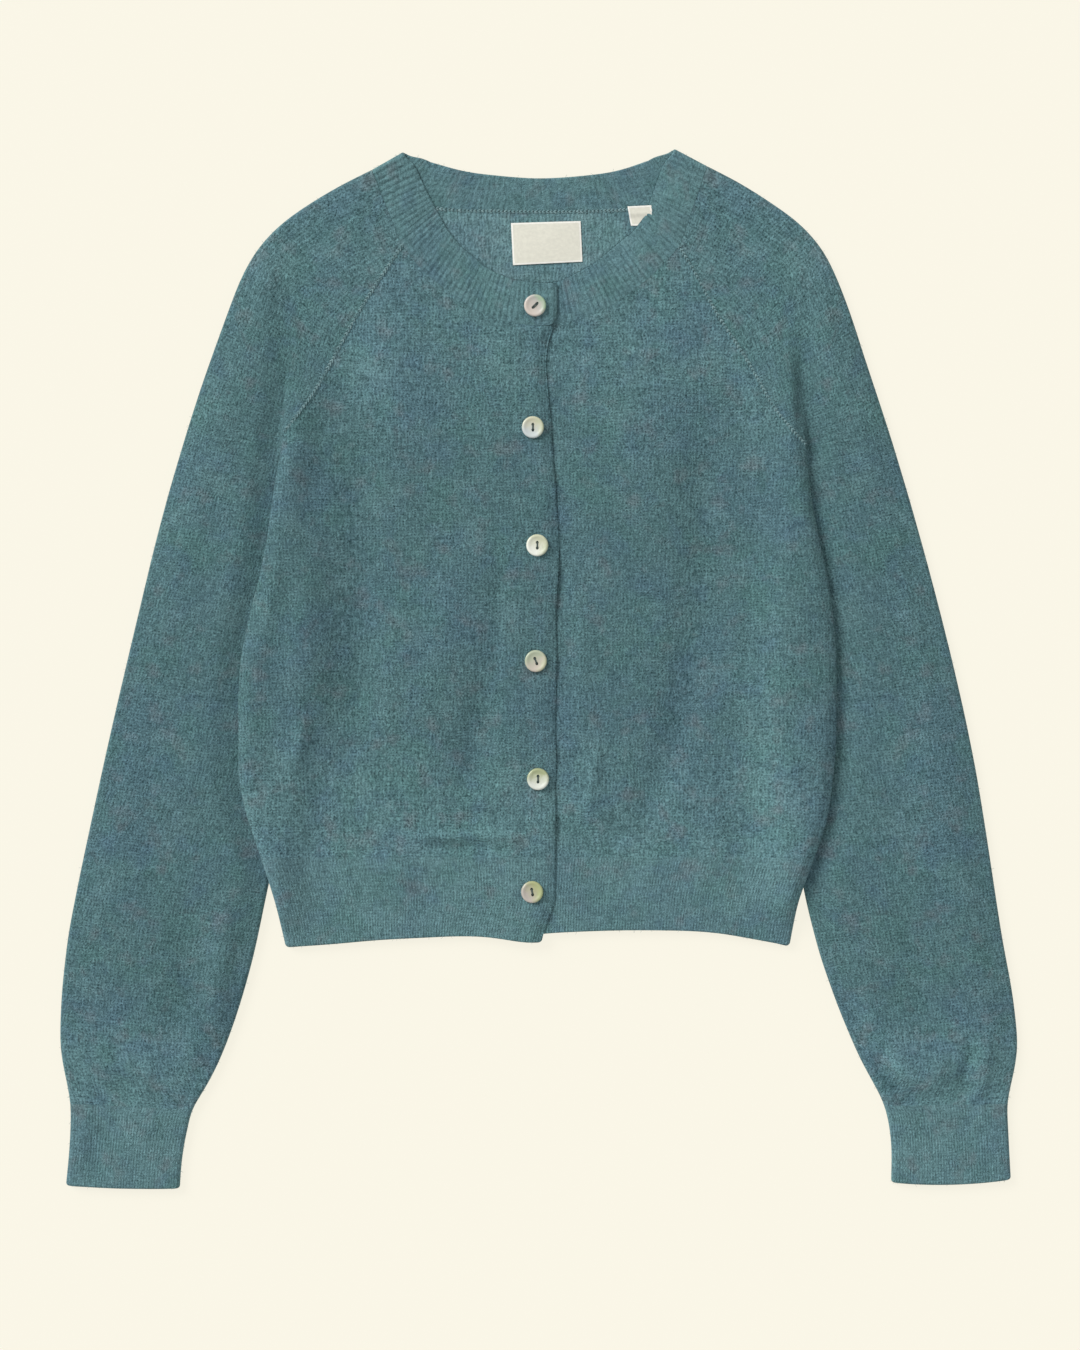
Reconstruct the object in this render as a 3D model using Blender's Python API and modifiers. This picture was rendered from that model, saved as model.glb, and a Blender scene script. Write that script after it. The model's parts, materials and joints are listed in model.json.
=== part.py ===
"""Button cardigan, fastened and laid flat on a surface, face up, with its sleeves down.

A crew-neck raglan cardigan in brushed plain knit, with a ribbed neckband, hem and cuffs
and six two-hole buttons. Each knitted piece is a closed wall between an outer and an
inner grid of points, both worked out from the seam lines below. The back lies on the
surface, the fronts lie on the back, and each side of the body lies over the inner part
of its sleeve, which is tucked under it.

Frame: +Z up, +Y towards the neck, -X the wearer's right. The origin is on the surface,
under the middle of the bounding box. Sizes are millimetres, and meshes are metres.
"""

import math
from collections import namedtuple

import bmesh
import bpy
import numpy as np

MM = 0.001
COLLECTION = "button_cardigan"
CUTTERS = "button_cardigan_cutters"

# Cloth
WALL = 2.2  # thickness of the knit
AIR = 1.0  # between the front and back layers, and inside a flattened sleeve
SEAM = 0.2  # each piece stops this far short of its seam line
LAID_ON = 0.3  # between a small piece and the cloth that it lies on
PUFF = 1.3  # how far the middle of a front stands off the back
SLEEVE_PUFF = 1.6
UPPER = WALL + AIR  # underside of the upper layer
FOLD_RADIUS = WALL + AIR / 2  # outer radius of a flattened tube's folded edge
FOLD_INSIDE = AIR / 2

# The body over its sleeves
LIFT = 5.8  # height of the back where it lies on a tucked sleeve
LIFT_RAMP = 28.0  # width over which the back comes down to the surface again
CREASE_WIDTH = 3.0  # width of the steep step from the body down to the sleeve
UNDERARM_RISE = 16.0  # length along the side over which the lift grows
ELBOW_RISE = 15.5  # the sleeve's outer edge level with the underarm is this much higher
HEM_DROP = 35.0  # length along the side over which the hem comes down again
STAND_OVERLAP = 3.0  # height of the right front's stand over the left one
STAND_RAMP = 14.0  # width over which it rises
STAND_MARGIN = 6.0  # the rise ends this far outside the left front's edge

# Ribs
RIB_HEIGHT = 0.5
NECK_RIB = 4.0  # from one rib to the next
HEM_RIB = 3.8
CUFF_RIB = 3.8
BAND_ROUNDING = 1.4  # width of the neckband's rounded free edge
BAND_EDGE = 0.6  # how far each surface comes in at that edge

# Buttons: profile from the middle of the face, over the rim, to the middle of the back
BUTTON_PROFILE = ((0.0, 1.7), (3.4, 1.75), (5.4, 2.4), (6.9, 2.1), (7.5, 1.2), (6.6, 0.0), (0.0, 0.0))
BUTTON_SIDES = 18
BUTTON_HOLE_RADIUS = 0.75
BUTTON_HOLE_SPACING = 3.5
Button = namedtuple("Button", "x y turn")
BUTTONS = (
    Button(-3.0, 245.0, -45.0),
    Button(-4.5, 162.5, 4.0),
    Button(-1.5, 82.5, 3.0),
    Button(-2.5, 4.0, 0.0),
    Button(-1.0, -76.0, -5.0),
    Button(-5.0, -152.5, 8.0),
)

# Labels: centre, size and turn in the plan, and thickness
Label = namedtuple("Label", "x y width height turn thickness")
NECK_LABEL = Label(5.0, 288.0, 47.5, 29.0, 1.5, 0.5)
CARE_LABEL = Label(72.5, 305.0, 24.0, 11.0, 5.0, 0.3)

Point = namedtuple("Point", "x y")
Side = namedtuple(
    "Side", "sign body_edge underarm raglan_front raglan_back outer inner cuff_outer cuff_inner"
)
Section = namedtuple("Section", "seam_x seam_y free_x free_y")
Fold = namedtuple("Fold", "x0 y0 x1 y1 width height")


def points(*pairs):
    """Named plan points from x, y pairs."""
    return tuple(Point(x, y) for x, y in pairs)


# The outline of each side, from the top down. body_edge is the edge of the body where it
# lies over the sleeve; above the underarm it is the crease in the sleeve itself.
RIGHT = Side(
    sign=-1,
    body_edge=points(
        (-168.5, 215.5), (-170.0, 188.5), (-172.5, 168.0), (-174.0, 154.5), (-180.0, 124.5),
        (-183.5, 94.0), (-187.5, 74.0), (-193.5, 45.5), (-199.5, 26.0), (-203.0, 3.5),
        (-204.5, -22.5), (-204.0, -57.0), (-203.0, -88.0), (-196.0, -109.5), (-188.5, -131.0),
        (-184.0, -146.0), (-180.0, -156.0), (-178.0, -165.5), (-175.5, -179.0), (-172.5, -190.5),
    ),
    underarm=Point(-173.7, 158.0),
    raglan_front=points(
        (-93.5, 286.5), (-112.0, 258.5), (-121.5, 244.0), (-139.0, 212.0), (-150.5, 191.0),
        (-173.7, 158.0),
    ),
    raglan_back=points(
        (-92.0, 315.5), (-115.0, 272.0), (-138.0, 226.0), (-158.0, 184.0), (-173.7, 158.0),
    ),
    outer=points(
        (-114.0, 338.0), (-141.0, 324.5), (-158.0, 314.0), (-173.0, 304.0), (-184.0, 294.0),
        (-193.0, 283.5), (-199.5, 273.0), (-207.5, 253.0), (-215.0, 232.5), (-229.5, 192.0),
        (-242.5, 151.0), (-254.5, 110.0), (-274.5, 28.5), (-293.5, -53.0), (-311.0, -134.5),
        (-319.5, -175.5), (-324.5, -216.0), (-326.5, -246.0), (-325.5, -270.0), (-322.0, -286.5),
        (-318.5, -296.5),
    ),
    inner=points(
        (-174.3, 157.0), (-178.3, 142.0), (-176.0, 124.5), (-169.5, 94.0), (-165.0, 60.0),
        (-164.0, 26.0), (-164.5, -22.5), (-167.0, -57.0), (-172.0, -91.0), (-180.5, -131.0),
        (-184.5, -148.0), (-189.5, -175.5), (-194.0, -196.0), (-199.5, -216.0), (-205.5, -236.5),
        (-212.5, -257.0), (-221.5, -277.5), (-234.5, -300.5),
    ),
    cuff_outer=points((-318.5, -296.5), (-318.3, -308.0), (-319.5, -328.5), (-322.0, -352.5)),
    cuff_inner=points((-234.5, -300.5), (-238.0, -308.0), (-243.0, -325.0), (-244.5, -354.5)),
)
LEFT = Side(
    sign=1,
    body_edge=points(
        (178.0, 247.0), (177.0, 215.5), (178.0, 193.0), (180.0, 155.0), (183.5, 124.5),
        (187.0, 97.0), (193.5, 71.5), (198.5, 41.0), (201.0, 18.5), (201.5, -22.5),
        (201.5, -50.0), (198.5, -81.5), (195.5, -103.5), (190.5, -121.5), (184.5, -134.0),
        (179.5, -150.0), (175.0, -160.0), (172.5, -172.5), (170.0, -189.5),
    ),
    underarm=Point(180.0, 151.0),
    raglan_front=points(
        (95.0, 285.5), (106.0, 268.0), (118.5, 243.0), (135.0, 218.5), (146.0, 200.0),
        (158.5, 176.0), (180.0, 151.0),
    ),
    raglan_back=points(
        (92.0, 317.0), (116.0, 272.0), (140.0, 226.0), (162.0, 180.0), (180.0, 151.0),
    ),
    outer=points(
        (114.0, 340.5), (127.0, 334.5), (144.0, 324.5), (160.0, 314.0), (174.5, 304.0),
        (186.0, 294.0), (193.5, 283.5), (198.5, 273.0), (207.0, 253.0), (220.5, 212.0),
        (240.5, 151.0), (264.0, 69.5), (284.5, -12.0), (293.5, -53.0), (307.0, -134.5),
        (313.0, -175.5), (320.5, -216.0), (325.5, -241.0), (326.0, -257.0), (324.0, -277.5),
        (318.0, -296.5),
    ),
    inner=points(
        (180.6, 150.0), (183.2, 136.0), (181.0, 118.0), (176.5, 97.0), (171.0, 60.0),
        (167.0, 26.0), (165.0, -22.5), (166.0, -57.0), (169.5, -91.0), (176.5, -135.0),
        (180.0, -152.0), (184.0, -175.5), (190.5, -196.0), (197.5, -216.0), (205.0, -236.5),
        (214.0, -257.0), (222.5, -277.5), (235.5, -298.0),
    ),
    cuff_outer=points((318.0, -296.5), (318.0, -308.0), (319.5, -328.5), (320.5, -348.5)),
    cuff_inner=points((235.5, -298.0), (239.0, -308.0), (239.7, -325.0), (239.0, -350.5)),
)
SIDES = {"right": RIGHT, "left": LEFT}

# The neckband's sections: its sewn edge and its free edge. The fronts run from the centre
# to the raglan, the shoulders from the raglan to the fold, the back from fold to fold.
NECK_FRONT = {
    "right": (
        Section(11.0, 232.0, 11.0, 261.0), Section(-6.5, 232.0, -6.5, 261.5),
        Section(-20.0, 234.0, -15.5, 263.0), Section(-35.5, 238.5, -26.5, 266.5),
        Section(-46.5, 244.5, -35.0, 271.0), Section(-59.0, 252.5, -43.5, 278.0),
        Section(-69.5, 261.0, -53.0, 286.0), Section(-80.5, 270.5, -61.0, 295.5),
        Section(-93.5, 286.5, -68.5, 308.0),
    ),
    "left": (
        Section(-16.0, 232.0, -16.0, 261.0), Section(0.5, 232.0, 0.5, 261.0),
        Section(16.5, 234.0, 13.0, 262.5), Section(33.0, 238.0, 23.0, 267.0),
        Section(45.0, 243.5, 32.5, 272.0), Section(59.0, 252.5, 42.0, 278.5),
        Section(70.5, 261.0, 52.0, 287.0), Section(82.0, 271.5, 61.0, 296.0),
        Section(95.0, 285.5, 69.0, 307.5),
    ),
}
NECK_SHOULDER = {
    "right": (
        Section(-93.5, 286.5, -68.5, 308.0), Section(-103.75, 312.25, -77.5, 325.5),
        Section(-114.0, 338.0, -89.5, 352.0),
    ),
    "left": (
        Section(95.0, 285.5, 69.0, 307.5), Section(104.5, 313.0, 78.0, 325.5),
        Section(114.0, 340.5, 88.5, 354.0),
    ),
}
NECK_BACK_SHOULDER = {
    "right": (Section(-114.0, 338.0, -89.5, 352.0), Section(-92.0, 315.5, -74.0, 343.5)),
    "left": (Section(114.0, 340.5, 88.5, 354.0), Section(92.0, 317.0, 74.0, 344.5)),
}
NECK_BACK = (
    Section(-92.0, 315.5, -74.0, 343.5), Section(-67.5, 311.5, -54.0, 338.0),
    Section(-34.0, 310.0, -30.0, 334.5), Section(0.5, 309.5, 0.5, 332.5),
    Section(34.0, 310.0, 32.0, 334.5), Section(68.5, 312.0, 56.0, 338.5),
    Section(92.0, 317.0, 74.0, 344.5),
)

# The centre edges, from the neck down, the hem seam and the lower edges
CENTRE = {
    "right": points(
        (11.0, 232.0), (6.5, 219.0), (6.5, 195.0), (9.0, 168.0), (10.5, 141.0), (13.0, 107.0),
        (14.5, 79.5), (12.5, 39.0), (12.5, 1.5), (11.0, -36.0), (11.0, -77.0), (12.5, -111.0),
        (13.0, -129.5),
    ),
    "left": points((-16.0, 232.0), (-16.0, 50.0), (-16.0, -129.5)),
}
HEM_CENTRE = {
    "right": points((13.0, -129.5), (13.5, -145.0), (11.5, -165.0), (7.5, -177.0), (2.0, -187.0)),
    "left": points((-16.0, -129.5), (-16.0, -183.5)),
}
HEM_BOTTOM = {
    "right": points(
        (2.0, -187.0), (-8.5, -187.5), (-20.0, -185.5), (-35.0, -183.5), (-57.0, -183.0),
        (-79.0, -184.0), (-108.5, -185.5), (-142.5, -188.5), (-172.5, -190.5),
    ),
    "left": points(
        (-16.0, -183.5), (5.0, -181.0), (24.0, -180.0), (54.0, -179.0), (83.5, -179.0),
        (105.0, -179.5), (122.5, -181.0), (143.0, -184.5), (170.0, -189.5),
    ),
}
HEM_BACK_BOTTOM = points(
    (-172.5, -190.5), (-142.5, -188.0), (-57.0, -182.5), (0.0, -181.5), (54.0, -178.5),
    (105.0, -179.0), (143.0, -184.0), (170.0, -189.5),
)
HEM_SEAM_Y = -129.5

# Soft folds in the upper layer of the body: a ridge (+) or trough (-) along a line
BODY_FOLDS = (
    Fold(-142.0, 120.0, -142.0, 0.0, 15.0, -0.9),
    Fold(-40.0, 30.0, -61.0, -90.0, 16.0, -0.9),
    Fold(22.0, 60.0, 33.0, -80.0, 9.0, 0.7),
    Fold(103.0, 70.0, 70.0, -85.0, 17.0, -0.9),
    Fold(135.0, -30.0, 150.0, -105.0, 20.0, 0.9),
    Fold(-70.0, -109.0, -10.0, -112.0, 6.0, 0.9),
    Fold(-78.0, -121.0, -28.0, -121.0, 4.0, -0.7),
    Fold(-166.0, -25.0, -150.0, -80.0, 9.0, 0.8),
)
# Creases in the upper layer of the sleeves
SLEEVE_FOLDS = (
    Fold(230.0, -272.0, 256.0, -293.0, 5.0, -1.0),
    Fold(296.0, -268.0, 286.0, -292.0, 6.0, -0.8),
    Fold(222.0, -114.0, 300.0, -112.0, 5.0, 0.6),
    Fold(-300.0, -255.0, -292.0, -290.0, 7.0, -0.8),
    Fold(-246.0, -268.0, -262.0, -292.0, 6.0, -0.6),
)

# How finely each piece is divided
SIDE_ROWS = 12
RAGLAN_ROWS = 9
ARM_ROWS = 14
NEAR_UNDERARM = (8.0, 16.0)  # extra rows below the underarm, where the side seam turns over
LIFT_COLUMNS = (1.0, 8.0, 15.0, 22.0, 29.0)  # columns beyond the tucked sleeve
STAND_COLUMNS = (46.0, 38.0, 30.0, 14.0, 0.0)  # columns before a front's centre edge
FRONT_COLUMNS = 4
BACK_COLUMNS = 8
HEM_ROWS = 2
CUFF_ROWS = 2
SLEEVE_TOP = 5
SLEEVE_UNDER = 3
FOLD_ANGLES = (45.0, 0.0, -45.0)
ROLL_ANGLES = (0.0, 45.0, 90.0)


# ---------------------------------------------------------------- curves and fields
def smooth(value):
    """0 below 0, 1 above 1, and an eased step between."""
    value = np.clip(value, 0.0, 1.0)
    return value * value * (3.0 - 2.0 * value)


def curve(rows, step=1.0):
    """A dense smooth curve through the rows, spaced by their first two numbers."""
    rows = np.array(rows, float)
    spans = np.linalg.norm(np.diff(rows[:, :2], axis=0), axis=1)
    knots = np.concatenate([[0.0], np.cumsum(spans)])
    slopes = np.gradient(rows, knots, axis=0)
    at = np.linspace(0.0, knots[-1], max(3, int(knots[-1] / step)))
    k = np.clip(np.searchsorted(knots, at, side="right") - 1, 0, len(knots) - 2)
    h = (knots[k + 1] - knots[k])[:, None]
    u = (at - knots[k])[:, None] / h
    start, end = rows[k], rows[k + 1]
    return (
        start * (2 * u**3 - 3 * u**2 + 1)
        + slopes[k] * h * (u**3 - 2 * u**2 + u)
        + end * (3 * u**2 - 2 * u**3)
        + slopes[k + 1] * h * (u**3 - u**2)
    )


def lengths(line):
    """Distance along a line of points, from its start to each point."""
    return np.concatenate([[0.0], np.cumsum(np.linalg.norm(np.diff(line[:, :2], axis=0), axis=1))])


def along(line, fractions):
    """Points at these fractions of a line's length."""
    run = lengths(line)
    at = np.asarray(fractions, float) * run[-1]
    return np.stack([np.interp(at, run, line[:, i]) for i in range(line.shape[1])], axis=-1)


def unit(vectors):
    return vectors / np.linalg.norm(vectors, axis=-1, keepdims=True)


def x_at(line, y):
    """x of a line that runs down in y."""
    return np.interp(y, line[::-1, 1], line[::-1, 0])


EDGES = {name: curve(side.body_edge) for name, side in SIDES.items()}
INNERS = {name: curve(side.inner) for name, side in SIDES.items()}


def inside_edge(name, x, y):
    """Distance inwards from the edge of the body."""
    return SIDES[name].sign * (x_at(EDGES[name], y) - x)


def tuck(name, y):
    """How far the sleeve reaches under the body."""
    side = SIDES[name]
    reach = side.sign * (x_at(EDGES[name], y) - x_at(INNERS[name], y))
    return np.maximum(reach, 0.0)


def side_lift(name, x, y, start):
    """Height of the body over its tucked sleeve, growing downwards from y = start."""
    side = SIDES[name]
    full = side.underarm.y - UNDERARM_RISE
    apex = side.body_edge[-1].y + HEM_DROP
    down_the_side = smooth((start - y) / (start - full)) * smooth((y - apex + HEM_DROP) / HEM_DROP)
    inside = inside_edge(name, x, y)
    across = smooth((inside + CREASE_WIDTH) / CREASE_WIDTH)
    across = across * (1.0 - smooth((inside - tuck(name, y) - 1.0) / LIFT_RAMP))
    return LIFT * down_the_side * across


def lower_lift(x, y):
    """Height of the underside of the back."""
    return sum(side_lift(name, x, y, side.underarm.y + 20.0) for name, side in SIDES.items())


def upper_lift(x, y):
    """How far the fronts are raised by the sleeves under them."""
    return sum(side_lift(name, x, y, side.body_edge[0].y) for name, side in SIDES.items())


def folds(table, x, y):
    """Sum of the ridges and troughs of a table, at each point."""
    total = np.zeros_like(x)
    for fold in table:
        run = np.array([fold.x1 - fold.x0, fold.y1 - fold.y0])
        at = np.clip(((x - fold.x0) * run[0] + (y - fold.y0) * run[1]) / (run @ run), 0.0, 1.0)
        away = np.hypot(x - fold.x0 - at * run[0], y - fold.y0 - at * run[1])
        total += fold.height * np.exp(-((away / fold.width) ** 2))
    return total


def stand_rise(x):
    """How far the right front's stand rises over the left one."""
    return STAND_OVERLAP * smooth((x - CENTRE["left"][0].x + STAND_RAMP + STAND_MARGIN) / STAND_RAMP)


# ---------------------------------------------------------------- meshes
def srgb(code):
    """Linear colour of an sRGB hex code."""
    parts = [int(code[i : i + 2], 16) / 255 for i in (1, 3, 5)]
    return [c / 12.92 if c <= 0.04045 else ((c + 0.055) / 1.055) ** 2.4 for c in parts] + [1.0]


def material(name, code, roughness):
    made = bpy.data.materials.new(name)
    made.use_nodes = True
    shader = made.node_tree.nodes["Principled BSDF"]
    shader.inputs["Base Color"].default_value = srgb(code)
    shader.inputs["Roughness"].default_value = roughness
    made.diffuse_color = srgb(code)
    return made


def finish(mesh, name, look, home):
    """A named object for a mesh, shaded smooth, in its collection."""
    mesh.materials.append(look)
    mesh.shade_smooth()
    mesh.set_sharp_from_angle(angle=math.radians(50.0))
    made = bpy.data.objects.new(name, mesh)
    home.objects.link(made)
    return made


def wall(name, outer, inner, look, home):
    """A closed wall between two grids of points, each rows x columns x 3, in millimetres."""
    rows, columns = outer.shape[:2]
    mesh = bpy.data.meshes.new(name)
    shape = bmesh.new()
    corners = [shape.verts.new(p) for grid in (outer, inner) for p in grid.reshape(-1, 3) * MM]

    def corner(layer, row, column):
        return corners[(layer * rows + row) * columns + column]

    for row in range(rows - 1):
        for column in range(columns - 1):
            for layer in (0, 1):
                shape.faces.new(
                    corner(layer, row + i, column + j) for i, j in ((0, 0), (1, 0), (1, 1), (0, 1))
                )
    rim = [(0, c) for c in range(columns)] + [(r, columns - 1) for r in range(1, rows)]
    rim += [(rows - 1, c) for c in range(columns - 2, -1, -1)] + [(r, 0) for r in range(rows - 2, 0, -1)]
    for here, there in zip(rim, rim[1:] + rim[:1]):
        shape.faces.new((corner(0, *here), corner(0, *there), corner(1, *there), corner(1, *here)))
    bmesh.ops.recalc_face_normals(shape, faces=shape.faces)
    if shape.calc_volume(signed=True) < 0.0:
        bmesh.ops.reverse_faces(shape, faces=shape.faces)
    shape.to_mesh(mesh)
    shape.free()
    return finish(mesh, name, look, home)


def trimmed(grid, first=False, last=False):
    """Moves the first and last rows of a grid a seam's width inwards."""
    grid = grid.copy()
    if first:
        grid[0] += SEAM * unit(grid[1] - grid[0])
    if last:
        grid[-1] += SEAM * unit(grid[-2] - grid[-1])
    return grid


def trimmed_columns(grid, first=0.0, last=0.0):
    """Moves the first and last columns inwards, by this share of a seam's width in each row."""
    grid = grid.copy()
    grid[:, 0] += SEAM * np.reshape(first, (-1, 1)) * unit(grid[:, 1] - grid[:, 0])
    grid[:, -1] += SEAM * np.reshape(last, (-1, 1)) * unit(grid[:, -2] - grid[:, -1])
    return grid


# ---------------------------------------------------------------- body panels
def patch(left, right, bottom, top, across):
    """Plan points between four edges.

    left and right are rows of points, bottom first; across is each column's share of the
    way from left to right, row by row.
    """
    u = across[..., None]
    v = 0.5 * (lengths(left) / lengths(left)[-1] + lengths(right) / lengths(right)[-1])[:, None, None]
    between = left[:, None] * (1 - u) + right[:, None] * u
    ends = along(bottom, across) * (1 - v) + along(top, across) * v
    low = left[0] * (1 - u) + right[0] * u
    high = left[-1] * (1 - u) + right[-1] * u
    return between + ends - low * (1 - v) - high * v


def rolled_columns(edge, inwards, rolled, radius):
    """Plan points and shares of height where a wall rolls over its side edge.

    rolled is 1 where the wall turns down to a side seam and 0 where it ends square.
    radius is FOLD_RADIUS on the outer surface and FOLD_INSIDE on the inner one.
    """
    spots, shares = [], []
    for angle in ROLL_ANGLES:
        turned = math.radians(angle)
        reach = rolled * (FOLD_RADIUS - radius * math.cos(turned))
        reach = reach + (1 - rolled) * FOLD_RADIUS * angle / 90.0
        spots.append(edge + inwards * reach[:, None])
        shares.append(rolled * math.sin(turned) + (1 - rolled))
    return np.stack(spots, axis=1), np.stack(shares, axis=1)


def panel_grid(plan, radius, start, end=None):
    """Plan grid and shares of height, with the first columns rolled, and the last if asked."""
    spots, shares = rolled_columns(plan[:, 0], unit(plan[:, 1] - plan[:, 0]), start, radius)
    if end is None:
        rest = plan[:, 1:]
        full = np.ones(rest.shape[:2])
        return np.concatenate([spots, rest], axis=1), np.concatenate([shares, full], axis=1)
    rest = plan[:, 1:-1]
    last, last_shares = rolled_columns(plan[:, -1], unit(plan[:, -2] - plan[:, -1]), end, radius)
    grid = np.concatenate([spots, rest, last[:, ::-1]], axis=1)
    return grid, np.concatenate([shares, np.ones(rest.shape[:2]), last_shares[:, ::-1]], axis=1)


def roll_share(name, y):
    """1 on the side seam, 0 above the underarm."""
    return smooth((SIDES[name].underarm.y - y) / UNDERARM_RISE)


def upper_heights(plan, share, extra, offset):
    """Heights of a front's surface. offset is 0 on its inside and WALL on its outside."""
    x, y = plan[..., 0], plan[..., 1]
    under = UPPER + upper_lift(x, y)
    seam = 0.5 * (lower_lift(x, y) + under + WALL) + SEAM
    return seam + (under + offset - seam) * share + extra


def lower_heights(plan, share, offset):
    """Heights of a back's surface. offset is 0 on its underside and WALL on its inside."""
    x, y = plan[..., 0], plan[..., 1]
    under = lower_lift(x, y)
    seam = 0.5 * (under + UPPER + upper_lift(x, y) + WALL) - SEAM
    return seam + (under + offset - seam) * share


def solid(plan, heights):
    return np.concatenate([plan, heights[..., None]], axis=-1)


def below_underarm(length, rows):
    """Shares of a line's length: close rows at the underarm, then even ones."""
    near = [d / length for d in NEAR_UNDERARM]
    return np.concatenate([near, np.linspace(near[-1], 1.0, rows - len(near) + 1)[1:]])


def side_line(name, raglan):
    """Rows of a panel's side, bottom first: up to the underarm, then up the raglan."""
    side = SIDES[name]
    edge = EDGES[name]
    corner = np.array([[x_at(edge, HEM_SEAM_Y), HEM_SEAM_Y]])
    edge = edge[(edge[:, 1] < side.underarm.y - 1.0) & (edge[:, 1] > HEM_SEAM_Y + 1.0)]
    lower = np.concatenate([[side.underarm], edge, corner])
    rows = along(lower, below_underarm(lengths(lower)[-1], SIDE_ROWS))
    upper = along(curve(raglan), np.linspace(0, 1, RAGLAN_ROWS + 1))
    return np.concatenate([upper, rows])[::-1]


def lift_columns(name, edge, width):
    """Distances in from a side at which the panel comes down from the tucked sleeve."""
    outside = inside_edge(name, edge[:, 0], edge[:, 1])
    steps = [
        np.maximum(tuck(name, edge[:, 1]) + reach - outside, FOLD_RADIUS + 0.03 * i * width + 2.0)
        for i, reach in enumerate(LIFT_COLUMNS)
    ]
    return np.stack(steps, axis=1)


def front(name, look, home):
    """A front, from its side and raglan to its centre edge."""
    side = SIDES[name]
    left = side_line(name, side.raglan_front)
    right = along(curve(CENTRE[name])[::-1], lengths(left) / lengths(left)[-1])
    width = np.linalg.norm(right - left, axis=1)
    near = lift_columns(name, left, width)
    far = width[:, None] - np.array(STAND_COLUMNS)
    parts = np.linspace(0, 1, FRONT_COLUMNS + 2)[1:-1]
    even = near[:, -1:] * (1 - parts) + far[:, :1] * parts
    reach = np.concatenate([np.zeros((len(left), 1)), near, even, far], axis=1)
    top = curve([(s.seam_x, s.seam_y) for s in NECK_FRONT[name]])[::-1]
    spread = np.linspace(0, 1, reach.shape[1])
    near_neck = smooth((left[:, 1] - side.underarm.y - 50.0) / 60.0)[:, None]
    share = reach / width[:, None] * (1 - near_neck) + spread * near_neck
    plan = patch(left, right, np.stack([left[0], right[0]]), top, share)
    plan = trimmed(plan, first=True, last=True)
    rolled = roll_share(name, left[:, 1])
    plan = trimmed_columns(plan, first=1 - rolled)
    surfaces = []
    for radius, offset in ((FOLD_RADIUS, WALL), (FOLD_INSIDE, 0.0)):
        grid, share = panel_grid(plan, radius, rolled)
        v = (lengths(left) / lengths(left)[-1])[:, None]
        x, y = grid[..., 0], grid[..., 1]
        away = np.linalg.norm(grid - grid[:, :1], axis=-1)
        middle = smooth((away - 8.0) / 30.0) * smooth((width[:, None] - away - 24.0) / 30.0)
        middle = middle * smooth(v / 0.12) * smooth((1 - v) / 0.12)
        relief = folds(BODY_FOLDS, x, y)
        raised = np.maximum(relief, 0.0) * smooth((away - 3.0) / 9.0) * smooth(v / 0.06)
        extra = PUFF * middle + raised + np.minimum(relief, 0.0) * middle
        if name == "right":
            extra = extra + stand_rise(x)
        surfaces.append(solid(grid, upper_heights(grid, share, extra, offset)))
    return wall(f"front_{name}", *surfaces, look, home)


def back_columns(left, right):
    """Shares of the way across the back: close together by the sides, then even."""
    width = np.linalg.norm(right - left, axis=1)
    near = lift_columns("right", left, width)
    far = width[:, None] - lift_columns("left", right, width)[:, ::-1]
    parts = np.linspace(0, 1, BACK_COLUMNS + 2)[1:-1]
    even = near[:, -1:] * (1 - parts) + far[:, :1] * parts
    reach = np.concatenate([np.zeros((len(left), 1)), near, even, far, width[:, None]], axis=1)
    return reach / width[:, None]


def back(look, home):
    """The back, from side to side, lying on the surface and over the tucked sleeves."""
    left = side_line("right", RIGHT.raglan_back)
    right = side_line("left", LEFT.raglan_back)
    across = back_columns(left, right)
    top = curve([(s.seam_x, s.seam_y) for s in NECK_BACK])
    spread = np.linspace(0, 1, across.shape[1])
    near_neck = smooth((left[:, 1] - RIGHT.underarm.y - 50.0) / 60.0)[:, None]
    share = across * (1 - near_neck) + spread * near_neck
    plan = patch(left, right, np.stack([left[0], right[0]]), top, share)
    plan = trimmed(plan, first=True, last=True)
    start, end = roll_share("right", left[:, 1]), roll_share("left", right[:, 1])
    plan = trimmed_columns(plan, first=1 - start, last=1 - end)
    surfaces = []
    for radius, offset in ((FOLD_RADIUS, 0.0), (FOLD_INSIDE, WALL)):
        grid, share = panel_grid(plan, radius, start, end)
        surfaces.append(solid(grid, lower_heights(grid, share, offset)))
    return wall("back_panel", *surfaces, look, home)


def hem_side(name):
    """Rows of a hem's side edge, bottom first."""
    ys = np.linspace(SIDES[name].body_edge[-1].y, HEM_SEAM_Y, HEM_ROWS + 1)
    return np.stack([x_at(EDGES[name], ys), ys], axis=-1)


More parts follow.
